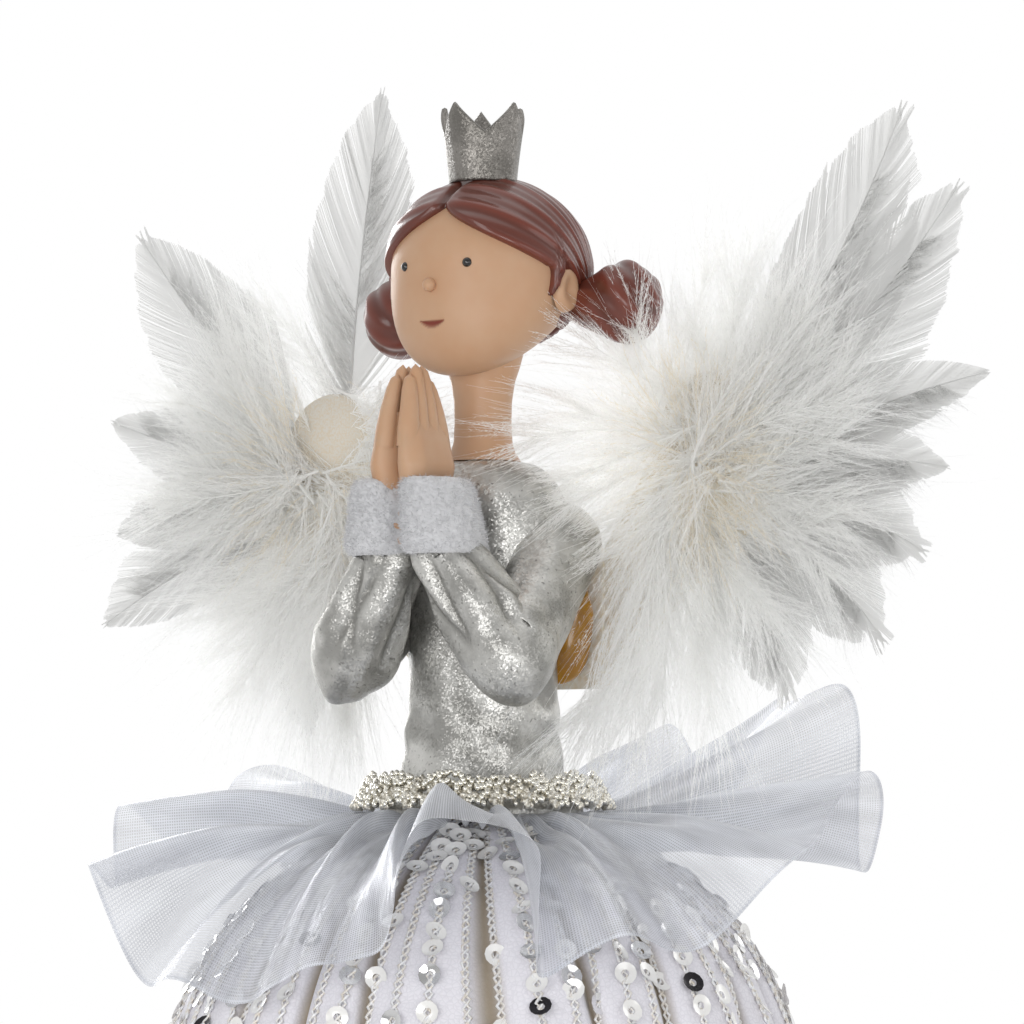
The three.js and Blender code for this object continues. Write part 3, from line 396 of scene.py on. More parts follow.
class Shape:
    """The points and faces of one piece, gathered shell by shell, each with its own tile of the bake map."""

    def __init__(self):
        self.points = []
        self.marks = []
        self.faces = {3: [], 4: []}
        self.tiles = {3: [], 4: []}
        self.count = 0
        self.shells = 0

    def put(self, points, faces, uv=None, mark=None):
        """Adds points (n, 3) and faces (m, 3 or 4), and their corners in the shell's tile (m, 3 or 4, 2)."""
        points = np.asarray(points, float).reshape(-1, 3)
        faces = np.asarray(faces, int)
        k = faces.shape[1]
        self.points.append(points)
        self.marks.append(np.zeros(len(points)) if mark is None else np.asarray(mark, float).reshape(-1))
        self.faces[k].append(faces + self.count)
        self.tiles[k].append((self.shells, np.zeros((len(faces), k, 2)) if uv is None else uv))
        self.count += len(points)
        self.shells += 1

    def grid(self, points, wrap_u=False, wrap_v=False, mark=None, flip=False):
        """Adds a grid of points (u, v, 3) as quads, joined round where it wraps."""
        faces, uv = quads(*points.shape[:2], wrap_u, wrap_v)
        if flip:
            faces, uv = faces[:, ::-1], uv[:, ::-1]
        self.put(points, faces, uv, mark)

    def copies(self, points, nu, nv, flip=False):
        """Adds many small grids of points (n, nu * nv, 3), each joined round along u."""
        faces, _ = quads(nu, nv, wrap_u=True)
        first = np.arange(len(points))[:, None, None] * (nu * nv)
        self.put(points, (first + faces[:, :: -1 if flip else 1]).reshape(-1, 4))

    def strips(self, centres, widths):
        """Adds flat strips: centres (n, k, 3) with their half-width vectors (n, k, 3)."""
        n, k = centres.shape[:2]
        points = np.stack([centres - widths, centres + widths], 2)
        base = np.arange(n)[:, None] * (2 * k) + np.arange(k - 1)[None, :] * 2
        base = base.ravel()
        self.put(points, np.stack([base, base + 1, base + 3, base + 2], 1))

    def blades(self, roots, tips, widths):
        """Adds single triangles from a root of some half width (n, 3) to a tip (n, 3)."""
        n = len(roots)
        points = np.stack([roots - widths, roots + widths, tips], 1)
        self.put(points, np.arange(3 * n).reshape(n, 3))

    def mesh(self, name):
        """The shape as a mesh in metres, with its bake map and its marks where it has any."""
        points = np.concatenate(self.points) * MM
        flat, totals, corners = [], [], []
        margin, room = 0.01, 0.98
        for k in (3, 4):
            for faces, (shell, uv) in zip(self.faces[k], self.tiles[k]):
                flat.append(faces.ravel())
                totals.append(np.full(len(faces), k))
                tile = uv * [room / self.shells, room] + [(shell + margin) / self.shells, margin]
                corners.append(tile.reshape(-1, 2))
        flat, totals = np.concatenate(flat), np.concatenate(totals)
        mesh = bpy.data.meshes.new(name)
        mesh.vertices.add(len(points))
        mesh.vertices.foreach_set("co", points.ravel().astype(np.float32))
        mesh.loops.add(len(flat))
        mesh.loops.foreach_set("vertex_index", flat.astype(np.int32))
        mesh.polygons.add(len(totals))
        starts = np.concatenate([[0], np.cumsum(totals)[:-1]])
        mesh.polygons.foreach_set("loop_start", starts.astype(np.int32))
        mesh.polygons.foreach_set("use_smooth", np.ones(len(totals), bool))
        mesh.update(calc_edges=True)
        if any(np.any(uv) for k in (3, 4) for _, uv in self.tiles[k]):
            layer = mesh.uv_layers.new(name="OFBake")
            layer.data.foreach_set("uv", np.concatenate(corners).ravel().astype(np.float32))
        marks = np.concatenate(self.marks)
        if np.any(marks):
            mesh.attributes.new("mark", "FLOAT", "POINT").data.foreach_set("value", marks.astype(np.float32))
        if mesh.validate():
            raise RuntimeError(f"{name} has faulty faces")
        return mesh


def piece(name, shape, material, body, nodes=()):
    """Makes an object of the shape with its material and body, and hides the CAD nodes that it stands for.
    """
    made = bpy.data.objects.new(name, shape.mesh(name))
    bpy.context.scene.collection.objects.link(made)
    made.data.materials.append(material)
    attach(made, body)
    if nodes:
        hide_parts(*nodes)
    return made


def unit(v):
    """Vectors of length 1 that point the same way."""
    return v / np.maximum(np.linalg.norm(v, axis=-1, keepdims=True), 1e-9)


def smooth(t):
    """A step from 0 to 1 that starts and ends level."""
    t = np.clip(t, 0, 1)
    return t * t * (3 - 2 * t)


def hump(x, middle, width):
    """A bell curve of height 1 that has fallen to 1 / e at its width from the middle."""
    return np.exp(-(((x - middle) / width) ** 2))


def turns(n):
    """A column of n even angles round a circle."""
    return np.arange(n)[:, None] * TAU / n


def polar(radius, angle, z):
    """Points at a radius and a height, at an angle from the front towards the figure's left."""
    return np.stack(np.broadcast_arrays(radius * np.sin(angle), -radius * np.cos(angle), z), -1)


def run_of(path):
    """Length along a path (k, 3) up to each of its points."""
    return np.concatenate([[0], np.cumsum(np.linalg.norm(np.diff(path, axis=0), axis=1))])


def lathe(profile, steps=96):
    """Points (steps, rows, 3) of radius and height pairs turned about Z."""
    radius, height = np.asarray(profile, float).T
    return polar(radius[None, :], turns(steps), height[None, :])


def tube(path, radius, sides=6, closed=False, up=(0.0, 0.0, 1.0)):
    """Points (k, sides, 3) round a path (k, 3); the ring's first axis is square to the path and to up."""
    path = np.asarray(path, float)
    ahead = np.roll(path, -1, 0) - np.roll(path, 1, 0)
    if not closed:
        ahead[0], ahead[-1] = path[1] - path[0], path[-1] - path[-2]
    ahead = unit(ahead)
    first = unit(np.cross(ahead, np.asarray(up, float)))
    second = np.cross(first, ahead)
    angle = np.arange(sides) * TAU / sides
    radius = np.broadcast_to(np.asarray(radius, float), len(path))[:, None, None]
    ring = np.cos(angle)[None, :, None] * first[:, None] + np.sin(angle)[None, :, None] * second[:, None]
    return path[:, None] + radius * ring


def ball(centre, half, nu=32, nv=20):
    """Points (nu, nv, 3) of an ellipsoid."""
    v = np.linspace(-math.pi / 2, math.pi / 2, nv)[None, :]
    return np.asarray(centre, float) + polar(np.cos(v), turns(nu), np.sin(v)) * np.asarray(half, float)


def ripple(p, scale, seed):
    """A smooth random value from about -1 to 1 at each point: a sum of eight sines in random directions."""
    rng = np.random.default_rng(seed)
    total = 0.0
    for _ in range(8):
        way = unit(rng.normal(size=3)) * TAU / scale * rng.uniform(0.6, 1.5)
        total = total + np.sin(p @ way + rng.uniform(0, TAU))
    return total / 4


# Head and hair

# Angle round from the face and latitude of the buns in degrees, and their distance from the skin.
BUN_ANGLE = 111
BUN_LATITUDE = -19
BUN_REACH = 11.2
CROWN_RADIUS = 7.0


def head_point(psi, lat, grow=0.0):
    """The head at an angle round from the face and a latitude, in degrees, as an egg that leans to the chin:
    x = a cos(lat) sin(psi), y = back - lean - b cos(lat) cos(psi), z = middle + rise or drop of sin(lat)."""
    s = sizes()
    back, chin_lean, chin_taper = 1.6, 10.4, 0.14
    psi, lat = np.broadcast_arrays(np.radians(psi), np.radians(lat))
    rise, level = np.sin(lat), np.cos(lat)
    below = np.maximum(0, -rise)
    a = (s.head_half_width + grow) * level
    b = a * (1 - chin_taper * below)
    y = back - chin_lean * below**1.45 - b * np.cos(psi)
    z = head_height() + np.where(rise < 0, s.chin_drop + grow, s.skull_rise + grow) * rise
    return np.stack([a * np.sin(psi), y, z], -1)


def hairline(psi):
    """Latitude of the hair's edge: high at the parting, a small lock before the ear, low at the nape."""
    parting, ear, nape, ear_angle = 43, -1, -44, 72
    a = np.abs((np.asarray(psi, float) + 180) % 360 - 180)
    front = parting + (ear - parting) * np.clip(a / ear_angle, 0, 1) ** 0.8
    back = ear + (nape - ear) * smooth((a - ear_angle) / (180 - ear_angle))
    lock = 15 * hump(a, 79, 2.6)
    return np.where(a < ear_angle, front, back) - lock


class TOPPER_OT_head(Operator):
    """Head: the egg of head_point with a smile pressed in, ball nose, cupped ears, turned neck and eyes."""

    bl_idname = "topper.head"
    bl_label = "Head"

    def execute(self, context):
        t = np.linspace(-1, 1, 300, endpoint=False)
        psi = 180 * (0.35 * t + 0.65 * t**3)
        p = head_point(psi[:, None], np.linspace(-90, 90, 190)[None, :])
        x, z, front = p[..., 0], p[..., 2], p[..., 1] < 0
        mouth_latitude, mouth_half, mouth_open = -33, 3.0, 0.75
        middle = head_point(0, mouth_latitude)[2] - 0.3 + 0.075 * x**2
        half = np.maximum(mouth_open * (1 - (x / mouth_half) ** 2), 0.05)
        inside = np.clip(1 - ((z - middle) / half) ** 2, 0, 1) * (np.abs(x) < mouth_half) * front
        lower_lip = np.exp(-(((z - middle + 1.5) / 0.7) ** 2) - (x / 2.0) ** 2) * front
        normal = unit(p - np.array([0, 0, head_height()]))
        p = p - normal * (0.55 * inside**0.6 - 0.22 * lower_lip)[..., None]
        shape = Shape()
        shape.grid(p, wrap_u=True, mark=np.sqrt(inside))
        shape.grid(self.neck(), wrap_u=True)
        shape.grid(ball(head_point(0, -11, 0.65), 1.35), wrap_u=True)
        for _, side in SIDES:
            shape.grid(self.ear(side), wrap_u=True, flip=side < 0)
        piece("head_painted", shape, skin_paint(), "figure", ["head"])
        # Gloss enamel: near black with one small sharp highlight.
        enamel = plain("eye_enamel_gloss", "eye", Roughness=0.08, Coat_Weight=0.6)
        for name, side in SIDES:
            eye = Shape()
            eye.grid(ball(head_point(side * 23, 0, -0.35), 1.02), wrap_u=True)
            piece(f"eye_bead_{name}", eye, enamel, "figure", [f"eye_{name}"])
        return {"FINISHED"}

    def neck(self):
        """A turned neck: slim in the middle, flared to the collar and into the jaw."""
        s = sizes()
        radii = [7.7, 7.3, 6.5, 5.9, 5.7, 5.8, 6.4, 7.4, 8.2, 7.6]
        heights = collar() + s.seat_gap + np.array([0, 0.6, 1.8, 4, 8, 12, 16, 19, 22])
        heights = np.append(heights, head_height() - 0.55 * s.chin_drop)
        at, fine = np.linspace(0, 1, len(radii)), np.linspace(0, 1, 60)
        return lathe(np.stack([np.interp(fine, at, radii), np.interp(fine, at, heights)], 1), 72)

    def ear(self, side):
        """An oval dome on the side of the head with a hollow in its middle."""
        r = np.linspace(0.0, 1.0, 24)[None, :]
        turn = turns(40)
        bowl = 2.6 * np.sqrt(np.maximum(0, 1 - r**2.4)) - 1.7 * hump(r, 0, 0.5)
        y = 3.8 * r * np.cos(turn)
        z = 5.0 * r * np.sin(turn) * (1 + 0.12 * np.sin(turn))
        return np.stack([side * (bowl + 0 * turn), y, z], -1) + head_point(side * 92, -13)


class TOPPER_OT_hair(Operator):
    """Hair cap: the head's egg grown by the hair's thickness, with grooves of equal angle about the line
    through both buns, so that they comb from the parting to the buns; a notch runs along the parting."""

    bl_idname = "topper.hair"
    bl_label = "Hair"

    def execute(self, context):
        s = sizes()
        tuck = -0.3
        psi = np.arange(420) * 360 / 420
        share = np.concatenate([np.linspace(0.0, 0.985, 150), [0.992, 0.997, 1.0, 1.0]])
        lat = np.minimum(90 + (hairline(psi)[:, None] - 90) * share[None, :], 89.9)
        skin = head_point(psi[:, None], lat)
        bun = bun_centre(1.0)
        turn = np.arctan2(skin[..., 2] - bun[2], -(skin[..., 1] - bun[1]))
        wander = 0.35 * ripple(skin, 30.0, 3)
        comb = np.sin(30 * turn + 5 * wander) * 0.6 + np.sin(58 * turn + 4 * wander) * 0.4
        fade = smooth(np.abs(skin[..., 0]) / 5)
        parting = hump(skin[..., 0], 0, 0.9) * smooth((4 - skin[..., 1]) / 8)
        edge = np.sqrt(np.clip((1 - share[None, :]) / 0.05, 0, 1))
        lift = s.seat_gap + s.hair_thickness * (0.35 + 0.65 * edge) + 0.3 * comb * fade - parting
        lift = np.where(share[None, :] >= 1.0, 0.25, lift)
        lift[:, -1] = tuck
        outer = head_point(psi[:, None], lat, np.maximum(lift, tuck))
        # Painted shade: the mark darkens the grooves between the combed locks and the notch of the parting.
        mark = np.clip(0.5 - 0.8 * comb * fade, 0, 1) * 0.75 + parting
        shape = Shape()
        shape.grid(outer[:, ::-1], wrap_u=True, mark=np.clip(mark, 0, 1)[:, ::-1])
        piece("hair_cap", shape, hair_paint(), "figure", ["hair"])
        return {"FINISHED"}


def bun_axis(side):
    """The way from the head out to a bun."""
    angle = math.radians(BUN_ANGLE)
    return np.array([side * math.sin(angle), -math.cos(angle), 0.0])


def bun_centre(side):
    """The middle of a bun."""
    return head_point(side * BUN_ANGLE, BUN_LATITUDE) + bun_axis(side) * BUN_REACH


class TOPPER_OT_buns(Operator):
    """Buns: ellipsoids with grooves that wind spirally from the outer pole to the stem."""

    bl_idname = "topper.buns"
    bl_label = "Buns"

    def execute(self, context):
        r = sizes().bun_radius
        stem_start, stem_radius, stem_length = 2.2, 4.0, 6.0
        u = turns(200)
        v = np.linspace(0.001, 1, 120)[None, :] * math.pi
        groove = np.sin(4 * u + 5.5 * v + 0.6 * np.sin(2 * u)) * 0.65 + np.sin(9 * u + 9 * v) * 0.35
        swell = 1 + 0.055 * groove * np.sin(v) ** 0.6
        stem = np.where(v > stem_start, smooth((v - stem_start) / 0.94), 0.0)
        along = np.cos(v) * swell * r - stem_length * stem
        wide = np.maximum(np.sin(v) * r * swell, stem_radius * stem)
        up = np.array([0.0, 0.0, 1.0])
        for name, side in SIDES:
            out = bun_axis(side)
            tall = (wide * np.cos(u))[..., None] * up * 1.08
            deep = (wide * np.sin(u))[..., None] * np.cross(out, up)
            p = bun_centre(side) + along[..., None] * out + tall + deep
            shape = Shape()
            # Painted shade: the mark darkens the spiral grooves of the bun.
            shape.grid(p, wrap_u=True, mark=np.clip(0.45 - 0.75 * groove, 0, 1) * 0.8, flip=True)
            piece(f"bun_coiled_{name}", shape, hair_paint(), "figure", [f"bun_{name}"])
        return {"FINISHED"}


class TOPPER_OT_crown(Operator):
    """Crown: a flared ring that bows in between its five points; its top falls from each to a valley."""

    bl_idname = "topper.crown"
    bl_label = "Crown"

    def execute(self, context):
        s = sizes()
        valley, wall, first_point = 9.6, 1.1, -7.0
        dip = CROWN_RADIUS / (s.head_half_width + s.hair_thickness)
        dome = s.skull_rise + (s.seat_gap + s.hair_thickness)
        foot = head_height() + dome * math.sqrt(1 - dip * dip) - 0.2
        widths = np.array([90.0, 67.5, 67.5, 67.5, 67.5])
        starts = first_point + np.cumsum(widths) - widths
        share = np.arange(40)[None, :] / 40
        a = np.radians(starts[:, None] + widths[:, None] * share).reshape(-1, 1)
        share = np.tile(share, len(widths)).reshape(-1, 1)
        height = valley + (s.crown_height - valley) * np.abs(2 * share - 1) ** 1.15
        v = np.linspace(0, 1, 24)[None, :]
        bow = (0.5 * np.cos(TAU * share) - 0.5) * (0.25 + 0.6 * v)
        radius = CROWN_RADIUS + 1.8 * v**1.2 + bow
        z = foot + height * v
        outer = polar(radius, a, z)
        inner = polar(radius - wall, a, z)[:, ::-1]
        lip = outer[:, -1:] * 0.5 + inner[:, :1] * 0.5 + [0, 0, 0.25]
        shape = Shape()
        shape.grid(np.concatenate([outer, lip, inner], 1), wrap_u=True, wrap_v=True)
        paint = silver_paint("crown_paint_glitter", "crown", 0.5, 0.5)
        piece("crown_cast", shape, paint, "figure", ["crown"])
        return {"FINISHED"}


# Torso and arms

# The torso's and sleeves' paint: name, tint, strength of its specks and tilt of its flakes.
BODICE_PAINT = ("bodice_paint_glitter", "silver", 0.6, 0.45)
# Level thickness of the sloping cone wall over its own thickness.
WALL_SLANT = 1.03


def torso_half(h, waist_size, shoulder_size):
    """Half width of the torso at a height above the waist: flange, slim waist, bust and rounded shoulder."""
    s = sizes()
    bust_height, flange_height, flange_fade, collar_radius = 28, 1.6, 4.5, 8
    rise = s.torso_height - s.shoulder_drop
    bust = smooth((h - rise + bust_height) / bust_height)
    flare = np.exp(-np.maximum(0, h - flange_height) / flange_fade)
    low = waist_size + (shoulder_size - waist_size) * bust + (s.flange - waist_size) * flare
    slope = np.clip((h - rise) / s.shoulder_drop, 0, 1)
    high = collar_radius + (shoulder_size - collar_radius) * np.sqrt(1 - slope**2)
    return np.where(h > rise, high, low)


class TOPPER_OT_torso(Operator):
    """Torso: an ellipse at each height by torso_half, with shallow folds, drawn in at collar and flange."""

    bl_idname = "topper.torso"
    bl_label = "Torso"

    def execute(self, context):
        s = sizes()
        rise = s.torso_height - s.shoulder_drop
        top = np.sin(np.linspace(0.03, 1, 40) * math.pi / 2)
        h = np.concatenate([[0.0], np.linspace(0.0, rise, 90), rise + s.shoulder_drop * top])
        u = turns(160)
        waist_x, shoulder_x, waist_y, shoulder_y = 16.0, 19.6, 13.0, 12.8
        x = torso_half(h, waist_x, shoulder_x)[None, :] * np.sin(u)
        y = -torso_half(h, waist_y, shoulder_y)[None, :] * np.cos(u)
        p = np.stack([x, y, waist() + h[None, :] + 0 * u], -1)
        fold = ripple(p * [1, 1, 0.45], 13.0, 5)
        fold = fold * smooth((h - 3) / 8)[None, :] * smooth((s.torso_height - 1 - h) / 8)[None, :]
        wrinkle = np.sin((h[None, :] + 0.5 * x) * TAU / 8.5) * hump(h, 16, 9)[None, :]
        fold = fold + 0.6 * wrinkle
        p[..., :2] *= (1 + 0.035 * fold)[..., None]
        p[:, 0, :2] *= 0.75
        p[:, -1, :2] *= 0.66
        shape = Shape()
        # Painted shade in the hollows of the folds.
        shape.grid(p, wrap_u=True, mark=np.clip(-0.9 * fold - 0.25, 0, 0.6))
        spigot = s.cone_top - s.cone_wall * WALL_SLANT - s.seat_gap
        foot = waist() - 10
        shape.grid(lathe([(0.01, foot), (spigot, foot), (spigot, waist() + 0.5)], 48), wrap_u=True)
        piece("torso_cast", shape, silver_paint(*BODICE_PAINT), "figure", ["torso"])
        return {"FINISHED"}


class TOPPER_OT_sleeves(Operator):
    """Sleeves: a round section carried from shoulder to wrist over a tight elbow, where folds gather."""

    bl_idname = "topper.sleeves"
    bl_label = "Sleeves"

    def execute(self, context):
        for name, side in SIDES:
            shape = Shape()
            points, crease_shade = self.sleeve(side)
            shape.grid(points, wrap_v=True, flip=side > 0, mark=crease_shade)
            paint = silver_paint(*BODICE_PAINT)
            piece(f"sleeve_cast_{name}", shape, paint, "figure", [f"sleeve_{name}"])
        return {"FINISHED"}

    def sleeve(self, side):
        """The points of a sleeve, and the painted shade that each takes in the creases."""
        s = sizes()
        shoulder = np.array([side * 16.6, 3.0, collar() - s.shoulder_drop - 1.2])
        elbow = np.array([side * 19.6, -17.6, collar() - 39.8])
        wrist = np.array([side * 6.4, -22.5, collar() - 19.8])
        into, on = unit(shoulder - elbow), unit(wrist - elbow)
        bend, steps, sides = 3.4, 50, 96
        t = np.linspace(0, 1, steps)[:, None]
        first = shoulder + (elbow + into * bend - shoulder) * t
        arc = (1 - t) ** 2 * (elbow + into * bend) + 2 * t * (1 - t) * elbow + t**2 * (elbow + on * bend)
        second = elbow + on * bend + (wrist - elbow - on * bend) * t
        reach = np.linspace(0.6, 6.0, 8)[:, None]
        in_cuff = wrist + np.array([-side * 0.2, -0.5, 1.0]) * reach * [0.3, 0.3, 1.0]
        path = np.concatenate([first, arc[1:], second[1:], in_cuff])
        run = run_of(path)
        share = run / run[-1]
        girth = np.interp(share, [0, 0.28, 0.48, 0.66, 0.9, 1], [1.0, 0.97, 1.0, 1.02, 0.78, 0.66])
        radius = s.sleeve_radius * girth
        angle = turns(sides).T
        along = share[:, None]
        folds = 0.065 * hump(along, 0.55, 0.16) * np.sin(9 * along * TAU * 0.5 + 2.2 * np.cos(angle) + side)
        forearm = (smooth((share - 0.52) / 0.12) * smooth((0.96 - share) / 0.14))[:, None]
        ridge = np.abs(np.sin(2.5 * angle + 2.4 * along + 0.6 * side))
        ridge = np.minimum(ridge, 1.3 * np.abs(np.sin(1.5 * angle - 4.0 * along + 1.0)))
        # Painted shade: darker where the ridges fall into creases, more on the forearm.
        crease_shade = hump(ridge, 0, 0.4) * (0.25 + 0.75 * forearm)
        drape = (0.07 + 0.19 * forearm) * (ridge - 0.55)
        ring = tube(path, 1.0, sides, up=unit(np.cross(into, on))) - path[:, None]
        p = path[:, None] + ring * (radius[:, None] * (1 + folds + drape))[..., None]
        cap_back = np.array([0.9, 0.75, 0.45, 0.2])[:, None]
        cap_girth = np.array([0.05, 0.6, 0.88, 0.98])
        cap = path[0] - unit(path[1] - path[0]) * s.sleeve_radius * cap_back
        dome = cap[:, None] + ring[:1] * (s.sleeve_radius * cap_girth)[:, None, None]
        point = -unit(into + on)
        facing = np.maximum(0, ring @ point)
        pull = 2.8 * hump(run - run[steps - 1], bend, 7)[:, None] * facing**3
        p = np.concatenate([dome, p + pull[..., None] * point])
        p[..., 0] = side * np.maximum(side * p[..., 0], 0.2)
        return p, np.concatenate([np.zeros((len(cap), sides)), crease_shade * 0.65])


def cuff_frame():
    """Height of the cuff's foot, its height, and its middle in Y at a share of the height."""
    foot = collar() - 19.5
    return foot, 15.0, lambda t: -22.5 - 1.4 * t


class TOPPER_OT_cuffs(Operator):
    """Cuffs: flared bands of short white pile, bulged and lumpy, with single hairs that stand out of it."""

    bl_idname = "topper.cuffs"
    bl_label = "Cuffs"

    def execute(self, context):
        foot, height, middle = cuff_frame()
        # Polyester plush: matt, with a soft pale rim from its standing pile.
        pile = plain("plush_pile", "plush", Roughness=0.95, Sheen_Weight=0.6)
        u = turns(160)
        t = np.linspace(0, 1, 60)[None, :]
        bulge = np.sqrt(np.clip(1 - (2 * t - 1) ** 6, 0, 1))
        # Half widths of the cuff's section, from its foot to its top.
        wide = 7.0 + (5.6 - 7.0) * t
        deep = 10.0 + (8.6 - 10.0) * t
        half_x = wide * (0.78 + 0.22 * bulge) + 0.4 * bulge
        half_y = deep * (0.82 + 0.18 * bulge) + 0.4 * bulge
        z = foot + height * t + 0 * u
        for name, side in SIDES:
            p = np.stack([side * (wide + half_x * np.sin(u)), middle(t) - half_y * np.cos(u), z], -1)
            axis = np.stack([side * (wide + 0 * u), middle(t) + 0 * u, z], -1)
            normal = unit(p - axis)
            lump = ripple(p, 3.4, 11) * 0.22 + ripple(p, 1.5, 12) * 0.12
            p = p + normal * lump[..., None]
            p[..., 0] = side * np.maximum(side * p[..., 0], 0.16)
            shape = Shape()
            shape.grid(p, wrap_u=True, flip=side < 0)
            rng = np.random.default_rng(21 if side > 0 else 22)
            pick = rng.integers(0, p.shape[0] * p.shape[1], 9000)
            root = p.reshape(-1, 3)[pick]
            way = unit(normal.reshape(-1, 3)[pick] + rng.normal(size=(len(pick), 3)) * 0.55)
            keep = side * root[:, 0] > 0.8
            root, way = root[keep], way[keep]
            tip = root + way * rng.uniform(0.5, 1.3, len(root))[:, None]
            width = unit(np.cross(way, rng.normal(size=way.shape))) * 0.07
            shape.blades(root, tip, width)
            piece(f"cuff_plush_{name}", shape, pile, "figure", [f"cuff_{name}"])
        return {"FINISHED"}


# Fingers: height of the tip over the cuff, and places of base and tip across the hand.
FINGERS = ((20.0, 5.4, 2.9), (22.4, 2.2, 1.1), (22.6, -1.5, -0.8), (20.6, -5.0, -2.6))


class TOPPER_OT_hands(Operator):
    """Hands: a palm, four tapering fingers that lean together at the tips and a thumb, each a round tube."""

    bl_idname = "topper.hands"
    bl_label = "Hands"

    def execute(self, context):
        foot, height, middle = cuff_frame()
        top = foot + height
        sunk, palm, knuckle = 2, 13, 6.0
        for name, side in SIDES:
            shape = Shape()
            u = turns(64)
            t = np.linspace(0, 1, 40)[None, :]
            z = foot + sunk + (top + palm - foot - sunk) * t
            half_y = np.interp(t, [0, 0.35, 0.6, 0.8, 1], [6.4, 6.6, 7.9, 7.3, 5.3])
            thick = np.interp(t, [0, 0.35, 0.6, 0.8, 1], [5.4, 5.8, 6.4, 5.3, 3.1])
            lean = np.interp(t, [0, 0.5, 1], [middle(0.2), middle(1.0), middle(1.0) - 0.4])
            x = 0.15 + thick * np.clip(0.5 + 0.62 * np.sin(u), 0, 1)
            p = np.stack([side * x, lean - half_y * np.cos(u), z + 0 * u], -1)
            lid = np.broadcast_to(p[:, -1:].mean(0, keepdims=True), p[:, -1:].shape)
            shape.grid(np.concatenate([p, lid], 1), wrap_u=True, flip=side < 0)
            tubes = []
            t = np.linspace(0, 1, 40)
            for tip_z, base_y, tip_y in FINGERS:
                y = lean[0, -1] + base_y + (tip_y - base_y) * t**1.3
                z = top + knuckle + (tip_z - knuckle) * t
                radius = np.interp(t, [0, 0.3, 0.8, 0.93, 1], [2.3, 2.15, 1.55, 1.15, 0.05])
                x = 0.2 + np.interp(t, [0, 0.5, 1], [2.6, 2.2, 1.3])
                tubes.append((np.stack([side * x, y, z], 1), radius))
            t = np.linspace(0, 1, 30)
            thumb = np.stack([side * (2.6 - 0.6 * t), lean[0, 25] + 6.2 - 1.6 * t, top + 1.0 + 12.5 * t], 1)
            tubes.append((thumb, np.interp(t, [0, 0.5, 0.85, 1], [2.4, 2.1, 1.6, 0.05])))
            for path, radius in tubes:
                shape.grid(tube(path, radius, 20, up=(1.0, 0.0, 0.0)), wrap_v=True, flip=True)
            piece(f"hand_painted_{name}", shape, skin_paint(), "figure", [f"hand_{name}"])
        return {"FINISHED"}


# Cone, skirt, ruffle and braid

# Shares of the way down the bell at which the skirt and its lining start and end.
SKIRT_TOP, SKIRT_HEM, LINING_HEM = 0.0075, 0.9965, 0.97


def bell(share):
    """The skirt's bell at a share of the way down: radius, height, and its outward normal's two parts."""
    top, flare, rate, slope = 16.5, 42, 8.5, 20
    fall = np.exp(-rate * share)
    radius = top + flare * (1 - fall) + slope * share
    spread = flare * rate * fall + slope
    height = sizes().cone_height
    run = np.hypot(spread, height)
    return radius, height * (1 - share), height / run, spread / run


def pleat_depth(share):
    """Half depth of the pleats at a share of the way down."""
    return sizes().pleat_depth * (0.25 + 0.75 * np.sqrt(share))


def pleat(share, phase):
    """Offset of the skirt from its bell: flat panels with narrow valleys, deeper towards the hem."""
    x = np.abs((phase % 1.0) - 0.5) * 2
    valley = hump(1 - x, 0, 0.22)
    return pleat_depth(share) * (0.75 + 0.25 * np.cos(math.pi * x) - 1.75 * valley), valley


def skirt_point(share, turn, lift=0.0):
    """A point on the skirt at a share of the way down and a turn from 0 to 1 round it."""
    radius, z, out, up = bell(share)
    wander = 0.05 * np.sin(TAU * 3 * turn + 4 * share) + 0.04 * np.sin(TAU * 7 * turn - 3 * share)
    offset, valley = pleat(share, turn * sizes().pleats + wander * 4)
    offset = offset + lift
    return polar(radius + offset * out, TAU * turn, np.maximum(z + offset * up, 0.2)), valley


class TOPPER_OT_skirt(Operator):
    """Skirt cloth and lining on the bell, with the cone inside: surfaces of turn round and share down."""

    bl_idname = "topper.skirt"
    bl_label = "Skirt"

    def execute(self, context):
        s = sizes()
        turn = np.arange(900)[:, None] / 900
        down = np.linspace(SKIRT_TOP**0.5, SKIRT_HEM**0.5, 90)[None, :] ** 2
        p, valley = skirt_point(down + 0 * turn, turn + 0 * down)
        shape = Shape()
        # Painted shade: the mark darkens the skirt in the pleat valleys.
        shape.grid(p[:, ::-1], wrap_u=True, mark=(np.clip(valley * 1.5 - 0.5, 0, 1) * 0.9)[:, ::-1])
        skirt = piece("skirt_pleated", shape, skirt_cloth(), "figure", ["skirt"])
        lining = Shape()
        rows = np.linspace(SKIRT_TOP**0.5, LINING_HEM**0.5, 40) ** 2
        radius, z, out, up = bell(rows)
        inset = -(pleat_depth(rows) + 1.15)
        lining.grid(lathe(np.stack([radius + inset * out, z + inset * up], 1)[::-1]), wrap_u=True)
        # Stiffened woven cotton: matt, with a faint weave.
        cloth = grained("lining_cloth_woven", "cloth", 1.6, 0.4, 0.88, Roughness=0.9)
        stiff = piece("skirt_lining_cloth", lining, cloth, "figure", ["skirt_lining"])
        cone = Shape()
        wall = s.cone_wall * WALL_SLANT
        outside = [(s.cone_mouth, 0.0), (s.cone_top, s.cone_height)]
        inside = [(s.cone_top - wall, s.cone_height), (s.cone_mouth - wall, 0.0)]
        cone.grid(lathe(outside + inside), wrap_u=True, wrap_v=True)
        # Pressed brown board: dull, with flecks of fibre.
        board = grained("cone_board_pressed", "card", 0.7, 0.3, 0.78, Roughness=0.9)
        piece("tree_cone_board", cone, board, "figure", ["tree_cone"])
        return {"FINISHED"}


